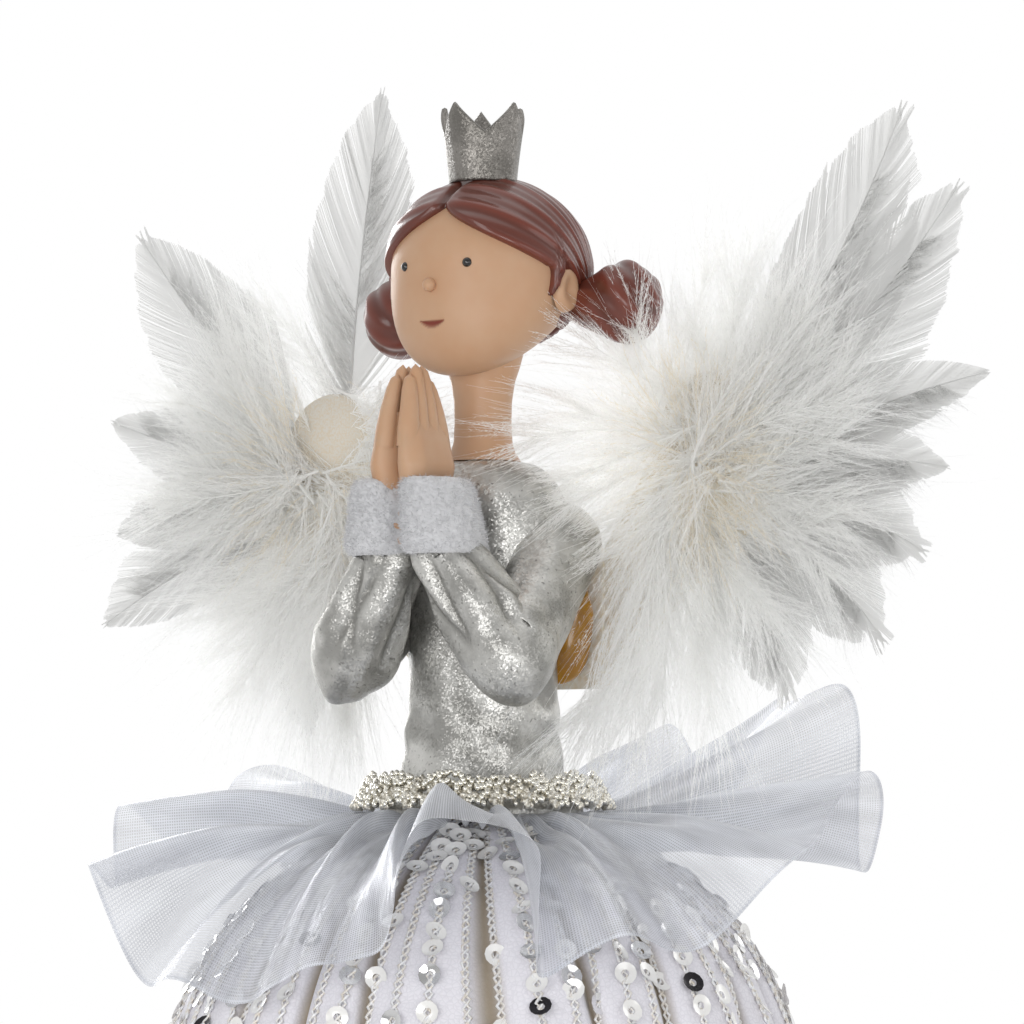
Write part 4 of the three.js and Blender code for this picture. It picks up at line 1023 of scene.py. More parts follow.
class TOPPER_OT_sequins(Operator):
    """Sequins and stitches: rows down each pleat of cupped rings with a hole, on two threads that cross."""

    bl_idname = "topper.sequins"
    bl_label = "Sequins"

    def execute(self, context):
        s = sizes()
        rng = np.random.default_rng(31)
        stitch_step, stitch_length, stitch_swing, stitch_rise, thread_radius = 0.95, 3.7, 0.72, 0.16, 0.34
        # Three rows on each pleat: place on it, and 1 where the sequins are few.
        places = ((-0.36, 1), (-0.02, 0), (0.33, 1))
        rows = [((i + 0.5 + x) / s.pleats, few) for i in range(s.pleats) for x, few in places]
        fine = np.linspace(0.012, 0.993, 400)
        threads, rings = Shape(), {"pearl": [], "mirror": [], "dark": []}
        for turn, few in rows:
            path, _ = skirt_point(fine, turn + 0.004 * np.sin(fine * 9 + turn * 40), 0.35)
            run = run_of(path)
            steps = np.linspace(0, run[-1], int(run[-1] / stitch_step))
            line = np.stack([np.interp(steps, run, path[:, k]) for k in range(3)], 1)
            ahead = unit(np.gradient(line, axis=0))
            out = unit(np.stack([line[:, 0], line[:, 1], 12 + 0 * steps], 1))
            out = unit(out - ahead * np.sum(out * ahead, 1, keepdims=True))
            across = np.cross(ahead, out)
            for phase in (0.0, math.pi):
                angle = (steps * TAU / stitch_length + phase)[:, None]
                cord = line + across * (stitch_swing * np.sin(angle)) + out * (stitch_rise * np.cos(angle))
                threads.grid(tube(cord, thread_radius, 4, up=across.mean(0)), wrap_v=True)
            count = int((run[-1] - 4) / s.sequin_pitch)
            jitter = rng.uniform(-0.25, 0.25, count)
            at = 3 + (np.arange(count) + jitter) * s.sequin_pitch + (3.0 if few else 0.0)
            at = at[at < run[-1] - 2]
            keep = rng.random(len(at)) < (0.4 if few else 0.97)
            for a in at[keep]:
                k = int(np.searchsorted(steps, a).clip(1, len(steps) - 2))
                tilt = unit(out[k] + across[k] * rng.normal() * 0.28 + ahead[k] * rng.normal() * 0.22)
                sort = rng.choice(["pearl", "mirror", "dark"], p=[0.72, 0.24, 0.04])
                rings[sort].append((line[k] + out[k] * 0.45, tilt, ahead[k]))
        # Metallised thread: pale, with small glints along its twist.
        stitch = grained("stitch_thread_metallic", "thread", 1.1, 0.25, 0.88, Metallic=0.05, Roughness=0.3)
        piece("skirt_stitches", threads, stitch, "figure")
        # Stamped film: pearl with a soft sheen, silvered like a mirror, and smoke with a dark gleam.
        finishes = {
            "pearl": plain("sequin_pearl", "pearl", Roughness=0.22, Metallic=0.15, Coat_Weight=0.6),
            "mirror": plain("sequin_mirror", "mirror", Roughness=0.1, Metallic=1.0),
            "dark": plain("sequin_smoke", "dark", Roughness=0.12, Metallic=0.6),
        }
        for sort, found in rings.items():
            shape = Shape()
            shape.copies(self.cups(*(np.array(x) for x in zip(*found))), 12, 3, flip=True)
            piece(f"sequins_{sort}", shape, finishes[sort], "figure")
        return {"FINISHED"}

    def cups(self, centre, normal, ahead):
        """The points of cupped rings, three circles of twelve each, round their normals."""
        first = unit(ahead - normal * np.sum(ahead * normal, 1, keepdims=True))
        second = np.cross(normal, first)
        turn = turns(12)
        radii = np.array([[0.36, 0.66, 1.0]]) * sizes().sequin_radius
        rise = np.array([[0.0, 0.1, 0.34]]) + 0 * turn
        a, b, c = (x.ravel()[None, :, None] for x in (radii * np.cos(turn), radii * np.sin(turn), rise))
        return centre[:, None] + a * first[:, None] + b * second[:, None] + c * normal[:, None]


# The ruffle's outer edge: pairs of angle from the front towards the figure's left, in degrees, and rise over
# the waist.
RUFFLE_EDGE = (
    (-176, 14), (-161, 5), (-146, 16), (-130, 7), (-113, 13), (-100, -3), (-86, -1), (-72, -6), (-58, -11),
    (-49, -17), (-40, -27), (-24, -36), (-13, -37), (-1, -32), (7, -28), (14, -27.5), (20, -27), (22.5, -19),
    (23.5, -10), (26, -2.5), (29.5, 0), (34.5, -1), (40.5, -6), (43, -10), (43.2, -17), (43.4, -23),
    (44.5, -29), (53, -27.5), (63, -23), (77, -19), (86.5, -11), (93, 0.5), (100, 7), (107, 6.5),
    (113, -0.5), (125, -9.5), (133, 4), (141, 22), (150, 29), (160, 21), (172, 10),
)


def ruffle_surface(steps, rows):
    """The ruffle by a step round and a share out: even angles at the waist, and at the outside a closed
    Catmull-Rom curve through RUFFLE_EDGE, stepped by its length; gathers at the waist run out into waves."""
    s = sizes()
    start = s.flange + s.seat_gap
    edge = np.array(RUFFLE_EDGE, float)
    wide = start + np.sqrt((s.ribbon_width - 2) ** 2 - edge[:, 1] ** 2)
    turn = np.radians(edge[:, 0])
    knots = np.stack([wide * np.sin(turn), -wide * np.cos(turn), edge[:, 1]], 1)
    fine_steps, gathers, waves, folds = 6000, 44, 17, 13
    t = np.arange(fine_steps + 1) * len(knots) / fine_steps
    i = t.astype(int)
    f = (t - i)[:, None]
    a, b, c, d = (knots[(i + k) % len(knots)] for k in (-1, 0, 1, 2))
    fine = 0.5 * (2 * b + (c - a) * f + (2 * a - 5 * b + 4 * c - d) * f**2 + (3 * b - a - 3 * c + d) * f**3)
    run = run_of(fine)
    share = np.arange(steps)[:, None] / steps
    line = np.stack([np.interp(share[:, 0] * run[-1], run, fine[:, k]) for k in range(3)], 1)
    outer = np.unwrap(np.arctan2(line[:, 0], -line[:, 1]))[:, None]
    shift = np.mean(outer - TAU * share)
    v = np.linspace(0, 1, rows)[None, :]
    pull = v**0.75
    angle = (TAU * share + shift) * (1 - pull) + outer * pull
    rise = line[:, 2:]
    arch = 6.5 * hump(np.degrees(outer), 31, 9) * np.clip(1 + rise / 12, 0, 1)
    gather = np.sin(TAU * gathers * share + 0.9 * np.sin(TAU * 5 * share))
    broad = np.sin(TAU * waves * share + 1.6 * np.sin(TAU * 4 * share) + 0.7)
    fold = np.sin(TAU * folds * share + 1.1 * np.sin(TAU * 3 * share + 1.0))
    loose = 1 - 0.85 * hump((np.degrees(outer) + 180) % 360 - 180, 18, 40)
    small = 2.6 * smooth(v / 0.1) * np.exp(-3.0 * v) * (gather - 0.9)
    small = small + 4.4 * smooth(v / 0.3) * (1 - 0.85 * v) * (broad - 0.5 * (1 - v))
    small = small + 6.8 * loose * smooth(v / 0.6) * fold
    r = start + (np.hypot(line[:, :1], line[:, 1:2]) - start) * v + 0.35 * small
    z = rise * v ** (1.7 + 0.01 * np.maximum(0, -rise)) + arch * (4 * v * (1 - v)) ** 2
    z = waist() + s.seat_gap + z + 0.9 * small + 0.8 * smooth(v / 0.12) * (1 - v)
    return polar(r, angle, z)


class TOPPER_OT_ruffle(Operator):
    """Organza ruffle: one sheet by ruffle_surface, its bake map running along and across the ribbon."""

    bl_idname = "topper.ruffle"
    bl_label = "Ruffle"

    def execute(self, context):
        s = sizes()
        shape = Shape()
        shape.grid(ruffle_surface(1000, 60), wrap_u=True, flip=True)
        ruffle = piece("ruffle_organza", shape, organza_cloth(), "figure", ["ruffle"])
        return {"FINISHED"}


class TOPPER_OT_braid(Operator):
    """Waist braid: cords that loop as prolate cycloids round the waist, above and below a middle cord."""

    bl_idname = "topper.braid"
    bl_label = "Braid"

    def execute(self, context):
        s = sizes()
        loops, around = 26, 60
        radius = s.flange + 3.0
        pitch = TAU * radius / loops
        t = np.arange(loops * around) * TAU / around
        shape = Shape()
        # Cords: phase, way round and reach of the loops.
        for phase, turn, reach in ((0.0, 1.0, 2.7), (math.pi, -1.0, 2.7), (math.pi / 2, 1.0, 1.4)):
            along = pitch * t / TAU - turn * 1.75 * np.sin(t + phase)
            across = reach * np.cos(t + phase) + (1.1 if turn > 0 else -1.1) * (reach > 2)
            through = 0.55 * np.sin(t * turn + phase)
            r = radius + (through - across) * math.sqrt(0.5)
            z = waist() + 4.55 + (through + across) * math.sqrt(0.5)
            path = polar(r, along / radius, z)
            thick = 0.78 * (1 + 0.24 * np.sin(t * 10))
            shape.grid(tube(path, thick, 7, closed=True, up=(0.31, 0.2, 0.93)), wrap_u=True, wrap_v=True)
        # Metallised cord: glints, and dark painted shade in the hollows of its grain.
        cord = grained("braid_cord_metallic", "braid", 2.2, 0.8, 0.5, Metallic=0.9, Roughness=0.3)
        piece("waist_braid_looped", shape, cord, "figure", ["waist_braid"])
        # Silvered glass beads: small bright metal balls that glint.
        silvered = plain("bead_silvered", "braid", Roughness=0.16, Metallic=1.0)
        piece("waist_braid_beads", self.beads(radius), silvered, "figure")
        return {"FINISHED"}

    def beads(self, radius):
        """Balls strewn over the braid's slope, whose upper edge rises in ten scallops."""
        rng = np.random.default_rng(41)
        count, slope = 900, 3.6
        angle, off = rng.uniform([0, -slope], [TAU, slope], (count, 2)).T
        size = rng.uniform(0.45, 0.8, count)[:, None, None]
        r = radius + 0.9 - off * 0.57
        z = waist() + 4.7 + off * 0.71 + 1.5 * np.abs(np.sin(5 * angle)) * smooth((off + slope) / 5)
        one = ball((0.0, 0.0, 0.0), 1.0, 6, 4).reshape(-1, 3)
        shape = Shape()
        shape.copies(polar(r, angle, z)[:, None] + one[None] * size, 6, 4)
        return shape


# Wings

# The way that the wings face.
FACE = np.array([0.0, -1.0, 0.0])
# The card's round end, and the felt disc on it with its height over the hub.
HUB_RADIUS = 15
FELT_RADIUS, FELT_RISE = 11, 9
# The glued tab and the card beside it: tab's inner end and edge, card's edge, and their low and high ends.
TAB_INNER, TAB_EDGE, CARD_EDGE, TAB_LOW, TAB_HIGH = 7.5, 19.75, 20.25, 22, 50


def wing_point(side, out, up, forward):
    """A place on a wing: out from the middle, up from its foot and forward of the card's middle."""
    s = sizes()
    out, up, forward = np.broadcast_arrays(*(np.asarray(v, float) for v in (out, up, forward)))
    return np.stack([side * out, s.wing_back - 0.03 * out - forward, collar() - s.wing_hang + up], -1)


def curve3(a, b, c, t):
    """A quadratic curve and its direction at shares t."""
    t = np.asarray(t, float)[:, None]
    return (1 - t) ** 2 * a + 2 * t * (1 - t) * b + t**2 * c, unit(2 * (1 - t) * (b - a) + 2 * t * (c - b))


# Quills: tip out and up, width, layer behind the card, and bend of the shaft.
QUILLS = {
    "left": (
        (90, 133, 33, 0, 5), (102, 117, 30, 1, 5), (108, 81, 15, 2, -3), (100, 63, 16, 0, -4),
        (94, 47, 23, 1, -4), (84, 30, 25, 2, -4), (63, 19, 23, 0, -4),
    ),
    "right": (
        (36, 146, 29, 0, 2), (99, 120, 30, 1, 4), (107, 81, 18, 2, 2), (104, 57, 18, 0, -2),
        (108, 38, 23, 1, -4), (56, 14, 20, 2, -3),
    ),
}


def vane_half(share):
    """Half of a feather's width, as a share of its full width, at a share of the way along its shaft."""
    return 0.5 * smooth((share + 0.02) / 0.4) * (1 - np.clip((share - 0.5) / 0.52, 0, 1) ** 2.3)


def quill_shape(side, tip, width, layer, bend, seed):
    """A feather: barbs at a steep angle from a tapering shaft, in locks that part from each other near the
    edge, with fluff on its lower part."""
    s = sizes()
    rng = np.random.default_rng(seed)
    hub = np.array([s.hub_out, s.hub_up])
    root_reach, behind_card = 10.8, 1.25
    forward = -(behind_card + layer)
    root = wing_point(side, *(hub + unit(np.array(tip, float) - hub) * root_reach), forward)
    end = wing_point(side, *tip, forward)
    control = (root + end) / 2 + unit(np.cross(end - root, FACE)) * side * bend
    shape = Shape()
    t = np.linspace(0, 1, 40)
    spine, _ = curve3(root, control, end, t)
    shape.grid(tube(spine, np.interp(t, [0, 0.3, 1], [0.55, 0.26, 0.05]), 6, up=FACE), wrap_v=True)
    span = np.linalg.norm(end - root)
    count = 200
    at = np.linspace(0.1, 0.99, count)
    base, ahead = curve3(root, control, end, at)
    full = vane_half(at) * 2
    k = np.linspace(0, 1, 7)[None, :, None]
    for edge in (-1.0, 1.0):
        cross = unit(np.cross(ahead, FACE)) * edge
        lock = np.cumsum(rng.random(count) < 0.045)
        locks = lock.max() + 1
        stray = rng.normal(0, 0.04, locks)[lock]
        lean = np.radians(np.interp(at, [0, 0.5, 1], [48, 36, 18])) + stray * (1 - 0.8 * at)
        lean = lean + rng.normal(0, 0.006, count)
        length = 0.4 * width / np.sin(lean)
        # Twelve rounds settle each barb's length so that its end lies on the feather's outline.
        for _ in range(12):
            end_at = at + length * (np.cos(lean) + 0.2) / span
            half = vane_half(end_at) * width * (1.06 if edge > 0 else 0.94)
            length = 0.5 * length + 0.5 * half / np.sin(lean)
        uneven = rng.normal(0, 0.025, locks)[lock]
        length = length * (1 + uneven * (1 - at)) * rng.uniform(0.98, 1.01, count)
        way = np.cos(lean)[:, None] * ahead + np.sin(lean)[:, None] * cross
        curl = ahead * 0.2 - cross * 0.05 + FACE * rng.normal(0, 0.05, locks)[lock][:, None]
        p = base[:, None] + length[:, None, None] * (way[:, None] * k + curl[:, None] * k**2)
        swell = 0.5 * np.sin(at * span * TAU / 11 + seed) + 0.3 * np.sin(at * span * TAU / 5.3 + 2 * seed)
        p = p + FACE * (0.06 * width * (k * full[:, None, None]) ** 2 + (swell * full)[:, None, None] * k)
        near = 0.89 * span / count * np.sin(lean) * 0.72 + 0.02
        shape.strips(p, unit(np.cross(way, FACE))[:, None] * near[:, None, None] * (1 - 0.35 * k**3))
    fluff = 340
    at = np.sort(rng.uniform(0.0, 0.8, fluff))
    base, ahead = curve3(root, control, end, at)
    aside = np.cross(ahead, FACE) * np.repeat([-1, 1], fluff // 2)[:, None]
    way = unit(ahead * 0.9 + aside + rng.normal(0, 0.28, (fluff, 3)))
    barbs(shape, rng, base, way, rng.uniform(9, 26, fluff) * (1 - 0.85 * at), 18, ahead * 0.3)
    return shape


def barbs(shape, rng, base, way, length, barbules, bend):
    """Down barbs: thin strips from base along way that bend and stray, drawn into wisps with those beside
    them and fringed with barbules."""
    n = len(base)
    steps, per_wisp = 8, 8
    k = np.linspace(0, 1, steps)[None, :, None]
    stray = unit(rng.normal(size=(n, 3))) * rng.uniform(0.08, 0.5, n)[:, None] + bend
    wave = np.cross(way, unit(rng.normal(size=(n, 3)))) * 0.06
    swing = np.sin(k * rng.uniform(4, 9, n)[:, None, None] + rng.uniform(0, TAU, n)[:, None, None])
    path = way[:, None] * k + stray[:, None] * k**2 + wave[:, None] * swing * k
    p = base[:, None] + length[:, None, None] * path
    wisp = np.arange(n) // per_wisp
    middle = np.zeros((wisp[-1] + 1, 3))
    np.add.at(middle, wisp, p[:, -1])
    middle = middle / np.bincount(wisp)[:, None]
    p = p + (middle[wisp] - p[:, -1])[:, None] * 0.55 * k**2
    wide = unit(np.cross(way, rng.normal(size=(n, 3))))[:, None] * 0.08 * (1 - 0.8 * k)
    shape.strips(p, wide)
    u = np.sort(rng.uniform(0.02, 0.8, (n, barbules)), 1)
    seg = np.minimum((u * (steps - 1)).astype(int), steps - 2)
    f = (u * (steps - 1) - seg)[..., None]
    row = np.arange(n)[:, None]
    root = p[row, seg] * (1 - f) + p[row, seg + 1] * f
    ahead = unit(p[row, seg + 1] - p[row, seg])
    side = unit(np.cross(ahead, rng.normal(size=root.shape)))
    reach = rng.uniform(0.6, 1.9, u.shape)[..., None] * (1.2 - 1.1 * u[..., None])
    tip = root + (ahead * 1.1 + side * 0.8) * reach
    wide = unit(np.cross(ahead + side, rng.normal(size=root.shape))) * 0.055
    shape.blades(root.reshape(-1, 3), tip.reshape(-1, 3), wide.reshape(-1, 3))


# Tufts of down: name, root out, up and forward, the same of the tip on the left wing and on the right wing,
# half angle of the fan of shafts, opening of the barbs, barb length, barbs and sag.
TUFTS = (
    ("upper", (50, 70, 4.2), (70, 103, 5), (78, 95, 4), 0.42, 0.7, 26, 880, 0.02),
    ("inner", (38, 76, 4.2), (42, 96, 7), (26, 68, 5), 0.45, 0.9, 20, 480, 0.04),
    ("shoulder", (39, 68, 7.5), (16, 63, 20), (14, 66, 9), 0.75, 0.8, 26, 880, 0.1),
    ("outer", (57, 66, 7.5), (84, 82, 8), (84, 74, 8), 0.62, 0.8, 28, 1040, 0.03),
    ("low_outer", (52, 54, 4.2), (71, 35, 6), (77, 44, 6), 0.65, 0.8, 27, 960, 0.05),
    ("low_inner", (41, 54, 7.5), (33, 14, 10), (33, 16, 9), 0.55, 0.7, 30, 960, 0.1),
    ("sleeve", (40, 50, 10.8), (28, 17, 24), (54, 18, 11), 0.45, 0.7, 30, 800, 0.12),
    ("back", (48, 60, -5.4), (68, 75, -6), (70, 75, -6), 0.75, 0.8, 28, 800, 0.03),
)


def bare(side, p):
    """True where no down lies: beside the figure's back, where the bead of glue keeps it apart, and on the
    right wing over the upper part of the felt disc."""
    s = sizes()
    glue_out, glue_low, glue_high = 30, 22, 44
    out, up = side * p[:, 0], p[:, 2] - collar() + s.wing_hang
    beside = (out < glue_out) & (up > glue_low) & (up < glue_high)
    felt = np.hypot(out - s.hub_out, up - s.hub_up - FELT_RISE) < FELT_RADIUS - 0.5
    felt = felt & (p[:, 1] < s.wing_back)
    upper = (up > s.hub_up + 6) & (out < s.hub_out + 4.5)
    return beside | (felt & upper & (side < 0))


def free_barbs(side, base, way, long):
    """True for the barbs that keep off what the down leaves bare."""
    return ~np.any([bare(side, base + way * (long * x)[:, None]) for x in (0.0, 0.35, 0.7, 1.0)], 0)


def tuft_shape(side, root, left_tip, right_tip, spread, opening, length, count, droop, seed):
    """A tuft of down: seven bowed shafts that fan out from one root, each with barbs on both sides that open
    wide at its root, close towards its tip and bend forward along it."""
    rng = np.random.default_rng(seed)
    a, c = wing_point(side, *root), wing_point(side, *(left_tip if side > 0 else right_tip))
    a = a - unit(c - a) * 7.0
    main = c - a
    across = np.cross(main, FACE)
    shape = Shape()
    shafts = 7
    half = count // (2 * shafts)
    for fan in np.linspace(-1, 1, shafts):
        turn = fan * spread + rng.normal(0, 0.12)
        reach = rng.uniform(0.66, 1.0) if abs(fan) > 0.5 else rng.uniform(0.8, 1.04)
        end = a + reach * (math.cos(turn) * main + math.sin(turn) * across) + FACE * rng.uniform(-3.0, 3.0)
        foot = a + rng.normal(0, 1.0, 3) * [4.5, 0.6, 4.5]
        b = (foot + end) / 2 + unit(rng.normal(size=3)) * rng.uniform(2, 7)
        for edge in (-1.0, 1.0):
            at = np.sort(rng.uniform(0, 1, half) ** 0.85)
            base, ahead = curve3(foot, b, end, at)
            cross = np.cross(ahead, FACE) * edge
            open_to = rng.uniform(0.3, 1.3, half)[:, None] * opening
            toward = FACE * rng.normal(0.1, 0.2, half)[:, None]
            way = unit(ahead + cross * open_to * (1 - 0.45 * at[:, None]) + toward)
            bend = ahead * 0.35 + np.array([0, 0, -droop])
            long = rng.uniform(0.45, 0.95, half) + 0.8 * rng.random(half) * (rng.random(half) < 0.14)
            long = length * long * (1 - 0.3 * at)
            free = free_barbs(side, base, way, long)
            if free.any():
                barbs(shape, rng, base[free], way[free], long[free], 28, bend[free])
        line, _ = curve3(foot, b, end, np.linspace(0, 1, 16))
        if not bare(side, line).any():
            shape.grid(tube(line, np.linspace(0.35, 0.1, 16), 5, up=FACE), wrap_v=True)
    return shape


def core_shape(side, seed):
    """The dense middle of the wing: short down that stands out all round from the card's hub."""
    s = sizes()
    rng = np.random.default_rng(seed)
    n = 260
    turn = np.sort(rng.uniform(0, TAU, n))
    off = 16 * np.sqrt(rng.random(n))
    out, up = s.hub_out + off * np.cos(turn), s.hub_up + 2 + off * np.sin(turn)
    base = wing_point(side, out, up, 3.0 + 7 * rng.random(n))
    away = np.stack([side * np.cos(turn), -rng.uniform(0.0, 0.5, n), np.sin(turn)], -1)
    way = unit(away + rng.normal(0, 0.35, (n, 3)))
    long = rng.uniform(10, 24, n)
    free = free_barbs(side, base, way, long)
    shape = Shape()
    barbs(shape, rng, base[free], way[free], long[free], 34, np.array([0, 0, -0.08]))
    return shape


class TOPPER_OT_wings(Operator):
    """Wings: quill feathers behind the card, tufts of down before and behind it, felt, card and glue."""

    bl_idname = "topper.wings"
    bl_label = "Wings"

    def execute(self, context):
        vane = barb_material("feather_vane", "feather", 0.5)
        down = barb_material("marabou_down", "down", 0.6)
        core = barb_material("marabou_core", "core", 0.6)
        for name, side in SIDES:
            body = f"wing_{name}"
            seed = 50 if side > 0 else 0
            for i, (out, up, width, layer, bend) in enumerate(QUILLS[name]):
                shape = quill_shape(side, (out, up), width, layer, bend, 100 + i + seed)
                nodes = [f"quill_{name}_{i + 1}"]
                piece(f"feather_{name}_{i + 1}", shape, vane, body, nodes)
            for i, (tuft, *form) in enumerate(TUFTS):
                shape = tuft_shape(side, *form, 200 + i + seed)
                piece(f"down_{name}_{tuft}", shape, down, body, [f"plume_{name}_{tuft}"])
            shape = core_shape(side, 300 if side > 0 else 301)
            piece(f"down_{name}_core", shape, core, body)
            self.boards(name, side, body)
            self.felt(name, side, body)
            self.glue(name)
        return {"FINISHED"}

    def boards(self, name, side, body):
        """The card's round end and neck, and the fixed tab: flat outlines with a face before and behind."""
        s = sizes()
        # White pressed board: matt and even.
        board = grained("wing_board_pressed", "white_card", 0.8, 0.2, 0.92, Roughness=0.9)
        arc = np.radians(np.linspace(-75, 125, 40))
        hub = np.stack([s.hub_out + HUB_RADIUS * np.cos(arc), s.hub_up + HUB_RADIUS * np.sin(arc)], 1)
        card = np.concatenate([[[CARD_EDGE, TAB_HIGH], [CARD_EDGE, TAB_LOW]], hub])
        tab = [[TAB_INNER, TAB_LOW], [TAB_EDGE, TAB_LOW], [TAB_EDGE, TAB_HIGH], [TAB_INNER, TAB_HIGH]]
        for title, ring, where, nodes in (
            (f"wing_board_{name}", card, body, [f"wing_card_{name}"]),
            (f"wing_tab_board_{name}", np.array(tab), "figure", [f"wing_tab_{name}"]),
        ):
            rings = []
            middle = ring.mean(0)
            for scale, forward in ((0, -0.6), (1, -0.6), (1, 0.6), (0, 0.6)):
                flat = middle + (ring - middle) * scale
                rings.append(wing_point(side, flat[:, 0], flat[:, 1], forward))
            shape = Shape()
            shape.grid(np.stack(rings, 1), wrap_u=True, flip=side < 0)
            made = piece(title, shape, board, where, nodes)
            made.data.polygons.foreach_set("use_smooth", np.zeros(len(made.data.polygons), bool))

    def felt(self, name, side, body):
        """The felt disc on the card: a flat round with a soft edge."""
        s = sizes()
        # Pressed wool felt: matt and warm grey-white, with a fine fleck.
        wool = grained("felt_pressed", "felt", 2.4, 0.4, 0.97, Roughness=0.95, Sheen_Weight=0.4)
        turn = turns(72)
        r = np.array([[0.01, 0.93, 1.0, 0.97, 0.01]]) * FELT_RADIUS
        forward = np.array([[0.9, 0.9, 1.4, 2.4, 2.45]]) + 0 * turn
        up = s.hub_up + FELT_RISE + r * np.sin(turn)
        shape = Shape()
        shape.grid(wing_point(side, s.hub_out + r * np.cos(turn), up, forward), wrap_u=True, flip=side < 0)
        piece(f"felt_disc_cut_{name}", shape, wool, body, [f"felt_disc_{name}"])

    def glue(self, name):
        """The bead of glue that holds the tab: a lumpy ball in its CAD box, flat against the tab."""
        # Set hot-melt glue: amber, glossy and a little clear.
        values = {"Roughness": 0.18, "Transmission_Weight": 0.25, "Coat_Weight": 0.3}
        melt = grained("hot_melt_set", "glue", 0.25, 0.3, 0.75, **values)
        lo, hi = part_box(f"glue_{name}")
        centre = np.array((lo + hi) / 2) / MM
        half = np.array((hi - lo) / 2) / MM
        bead = ball(centre, half * [1.0, 0.95, 1.0], 48, 32)
        bead = bead + unit(bead - centre) * (ripple(bead, 9.0, 7) * 0.5)[..., None]
        bead[..., 1] = np.minimum(bead[..., 1], sizes().wing_back - 1.4)
        shape = Shape()
        shape.grid(bead, wrap_u=True)
        piece(f"glue_bead_{name}", shape, melt, "figure", [f"glue_{name}"])


# Stage


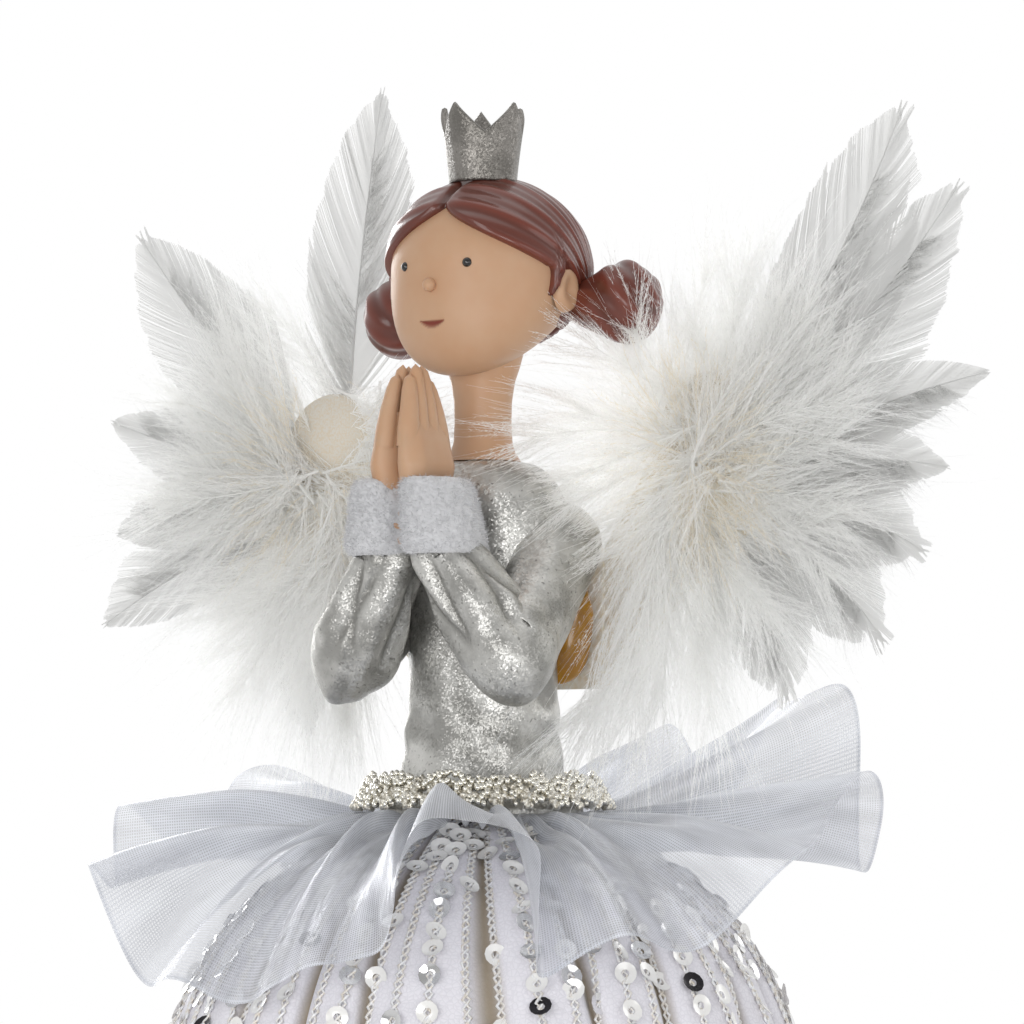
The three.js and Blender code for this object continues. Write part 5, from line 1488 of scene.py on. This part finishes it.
class TOPPER_OT_stage(Operator):
    """Floor, soft studio light and the camera at the photograph's angle."""

    bl_idname = "topper.stage"
    bl_label = "Stage"

    def execute(self, context):
        scene = context.scene
        scene.view_settings.view_transform = "Standard"
        self.floor(context)
        aim = np.array([0.0, 0.0, 0.2])
        # Lamps: name, place and size in metres, and power in watts.
        lights = (
            ("key", (0.1, -1.15, 0.35), 0.6, 2.9),
            ("low", (0.6, -1.0, 0.06), 0.5, 3.1),
            ("fill", (1.15, -0.35, 0.2), 0.8, 2.2),
            ("top", (0.1, 0.1, 1.3), 0.9, 1.2),
            ("rim_left", (-0.9, 0.55, 0.4), 0.6, 5.5),
            ("rim_right", (0.6, 0.95, 0.6), 0.6, 1.2),
        )
        for name, place, size, power in lights:
            data = bpy.data.lights.new(name, "AREA")
            data.shape, data.size, data.energy = "DISK", size, power
            lamp = bpy.data.objects.new(name, data)
            lamp.location = place
            lamp.rotation_euler = look(aim - np.array(place))
            scene.collection.objects.link(lamp)
        # The photograph's view: angles round and up, the point that it looks at, and the distance.
        az, el = math.radians(35.0), math.radians(3.6)
        aside, height, distance = 5.8, 211.1, 1.1
        right = np.array([math.cos(az), math.sin(az), 0.0])
        ahead = np.array([-math.sin(az) * math.cos(el), math.cos(az) * math.cos(el), math.sin(el)])
        self.world(scene, ahead)
        centre = (aside * right + np.array([0, 0, height])) * MM
        data = bpy.data.cameras.new("camera")
        data.lens, data.sensor_width = 193.4, 36.0
        data.clip_start = 0.01
        camera = bpy.data.objects.new("camera", data)
        camera.location = centre - ahead * distance
        camera.rotation_euler = look(ahead)
        scene.collection.objects.link(camera)
        scene.camera = camera
        return {"FINISHED"}

    def floor(self, context):
        """A pale floor that fades into the white room away from the figure."""
        bpy.ops.mesh.primitive_plane_add(size=4.0, location=(0, 0, -0.0005))
        floor = context.object
        floor.name = "floor"
        pale, shader = new_material("floor_pale", Roughness=0.8, Base_Color=(0.85, 0.85, 0.85, 1))
        if shader:
            coords = node(pale, "TexCoord").outputs["Object"]
            far = node(pale, "VectorMath", {0: coords}, operation="LENGTH").outputs["Value"]
            fade = node(pale, "MapRange", {"Value": far, 1: 0.25, 2: 0.75, 3: 0.0, 4: 1.0})
            clear = node(pale, "BsdfTransparent")
            both = node(pale, "MixShader", {0: fade, 1: shader, 2: clear})
            link(pale, both, pale.node_tree.nodes["Material Output"].inputs["Surface"])
        floor.data.materials.append(pale)

    def world(self, scene, ahead):
        """A white room for the camera. Its light is brighter behind the figure than before it, and brighter
        for gloss and glass than for matt surfaces, so that they show the white behind the figure too."""
        world = bpy.data.worlds.new("studio")
        world.use_nodes = True
        scene.world = world
        light = world.node_tree.nodes["Background"]
        light.inputs[0].default_value = (1, 1, 1, 1)
        towards = {0: node(world, "TexCoord").outputs["Generated"], 1: ahead}
        behind = node(world, "VectorMath", towards, operation="DOT_PRODUCT").outputs["Value"]
        level = {"Value": behind, 1: -0.8, 2: 0.6}
        matt = node(world, "MapRange", {**level, 3: 0.36, 4: 0.74})
        shiny = node(world, "MapRange", {**level, 3: 0.42, 4: 1.0})
        path = node(world, "LightPath")
        rays = {0: path.outputs["Is Glossy Ray"], 1: path.outputs["Is Transmission Ray"]}
        gloss = node(world, "Math", rays, operation="MAXIMUM")
        strength = node(world, "Mix", {0: gloss, 2: matt, 3: shiny})
        link(world, strength, light.inputs["Strength"])
        white = node(world, "Background", {0: (1, 1, 1, 1)})
        seen = {0: path.outputs["Is Camera Ray"], 1: light, 2: white}
        both = node(world, "MixShader", seen)
        link(world, both, world.node_tree.nodes["World Output"].inputs["Surface"])


def look(way):
    """Euler angles of a light or camera that looks along way with its top up."""
    return Vector(way).to_track_quat("-Z", "Y").to_euler()


class TOPPER_PT_panel(Panel):
    """Sidebar panel with the sizes, the colours and a button for each piece."""

    bl_idname = "TOPPER_PT_panel"
    bl_label = "Angel tree topper"
    bl_space_type = "VIEW_3D"
    bl_region_type = "UI"
    bl_category = "Topper"

    def draw(self, context):
        for name in BUILD_ORDER:
            self.layout.operator(f"topper.{name}")
        for group in (context.scene.topper_sizes, context.scene.topper_colours):
            for key in group.__annotations__:
                self.layout.prop(group, key)


BUILD_ORDER = (
    "head", "hair", "buns", "crown", "torso", "sleeves", "cuffs", "hands",
    "skirt", "sequins", "ruffle", "braid", "wings", "stage",
)
CLASSES = (
    TopperSizes, TopperColours, TOPPER_OT_head, TOPPER_OT_hair, TOPPER_OT_buns, TOPPER_OT_crown,
    TOPPER_OT_torso, TOPPER_OT_sleeves, TOPPER_OT_cuffs, TOPPER_OT_hands, TOPPER_OT_skirt,
    TOPPER_OT_sequins, TOPPER_OT_ruffle, TOPPER_OT_braid, TOPPER_OT_wings, TOPPER_OT_stage, TOPPER_PT_panel,
)


def register():
    for cls in CLASSES:
        bpy.utils.register_class(cls)
    bpy.types.Scene.topper_sizes = PointerProperty(type=TopperSizes)
    bpy.types.Scene.topper_colours = PointerProperty(type=TopperColours)


def unregister():
    del bpy.types.Scene.topper_sizes
    del bpy.types.Scene.topper_colours
    for cls in reversed(CLASSES):
        bpy.utils.unregister_class(cls)


def main():
    register()
    for name in BUILD_ORDER:
        getattr(bpy.ops.topper, name)()
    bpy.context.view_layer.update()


if __name__ == "__main__":
    main()
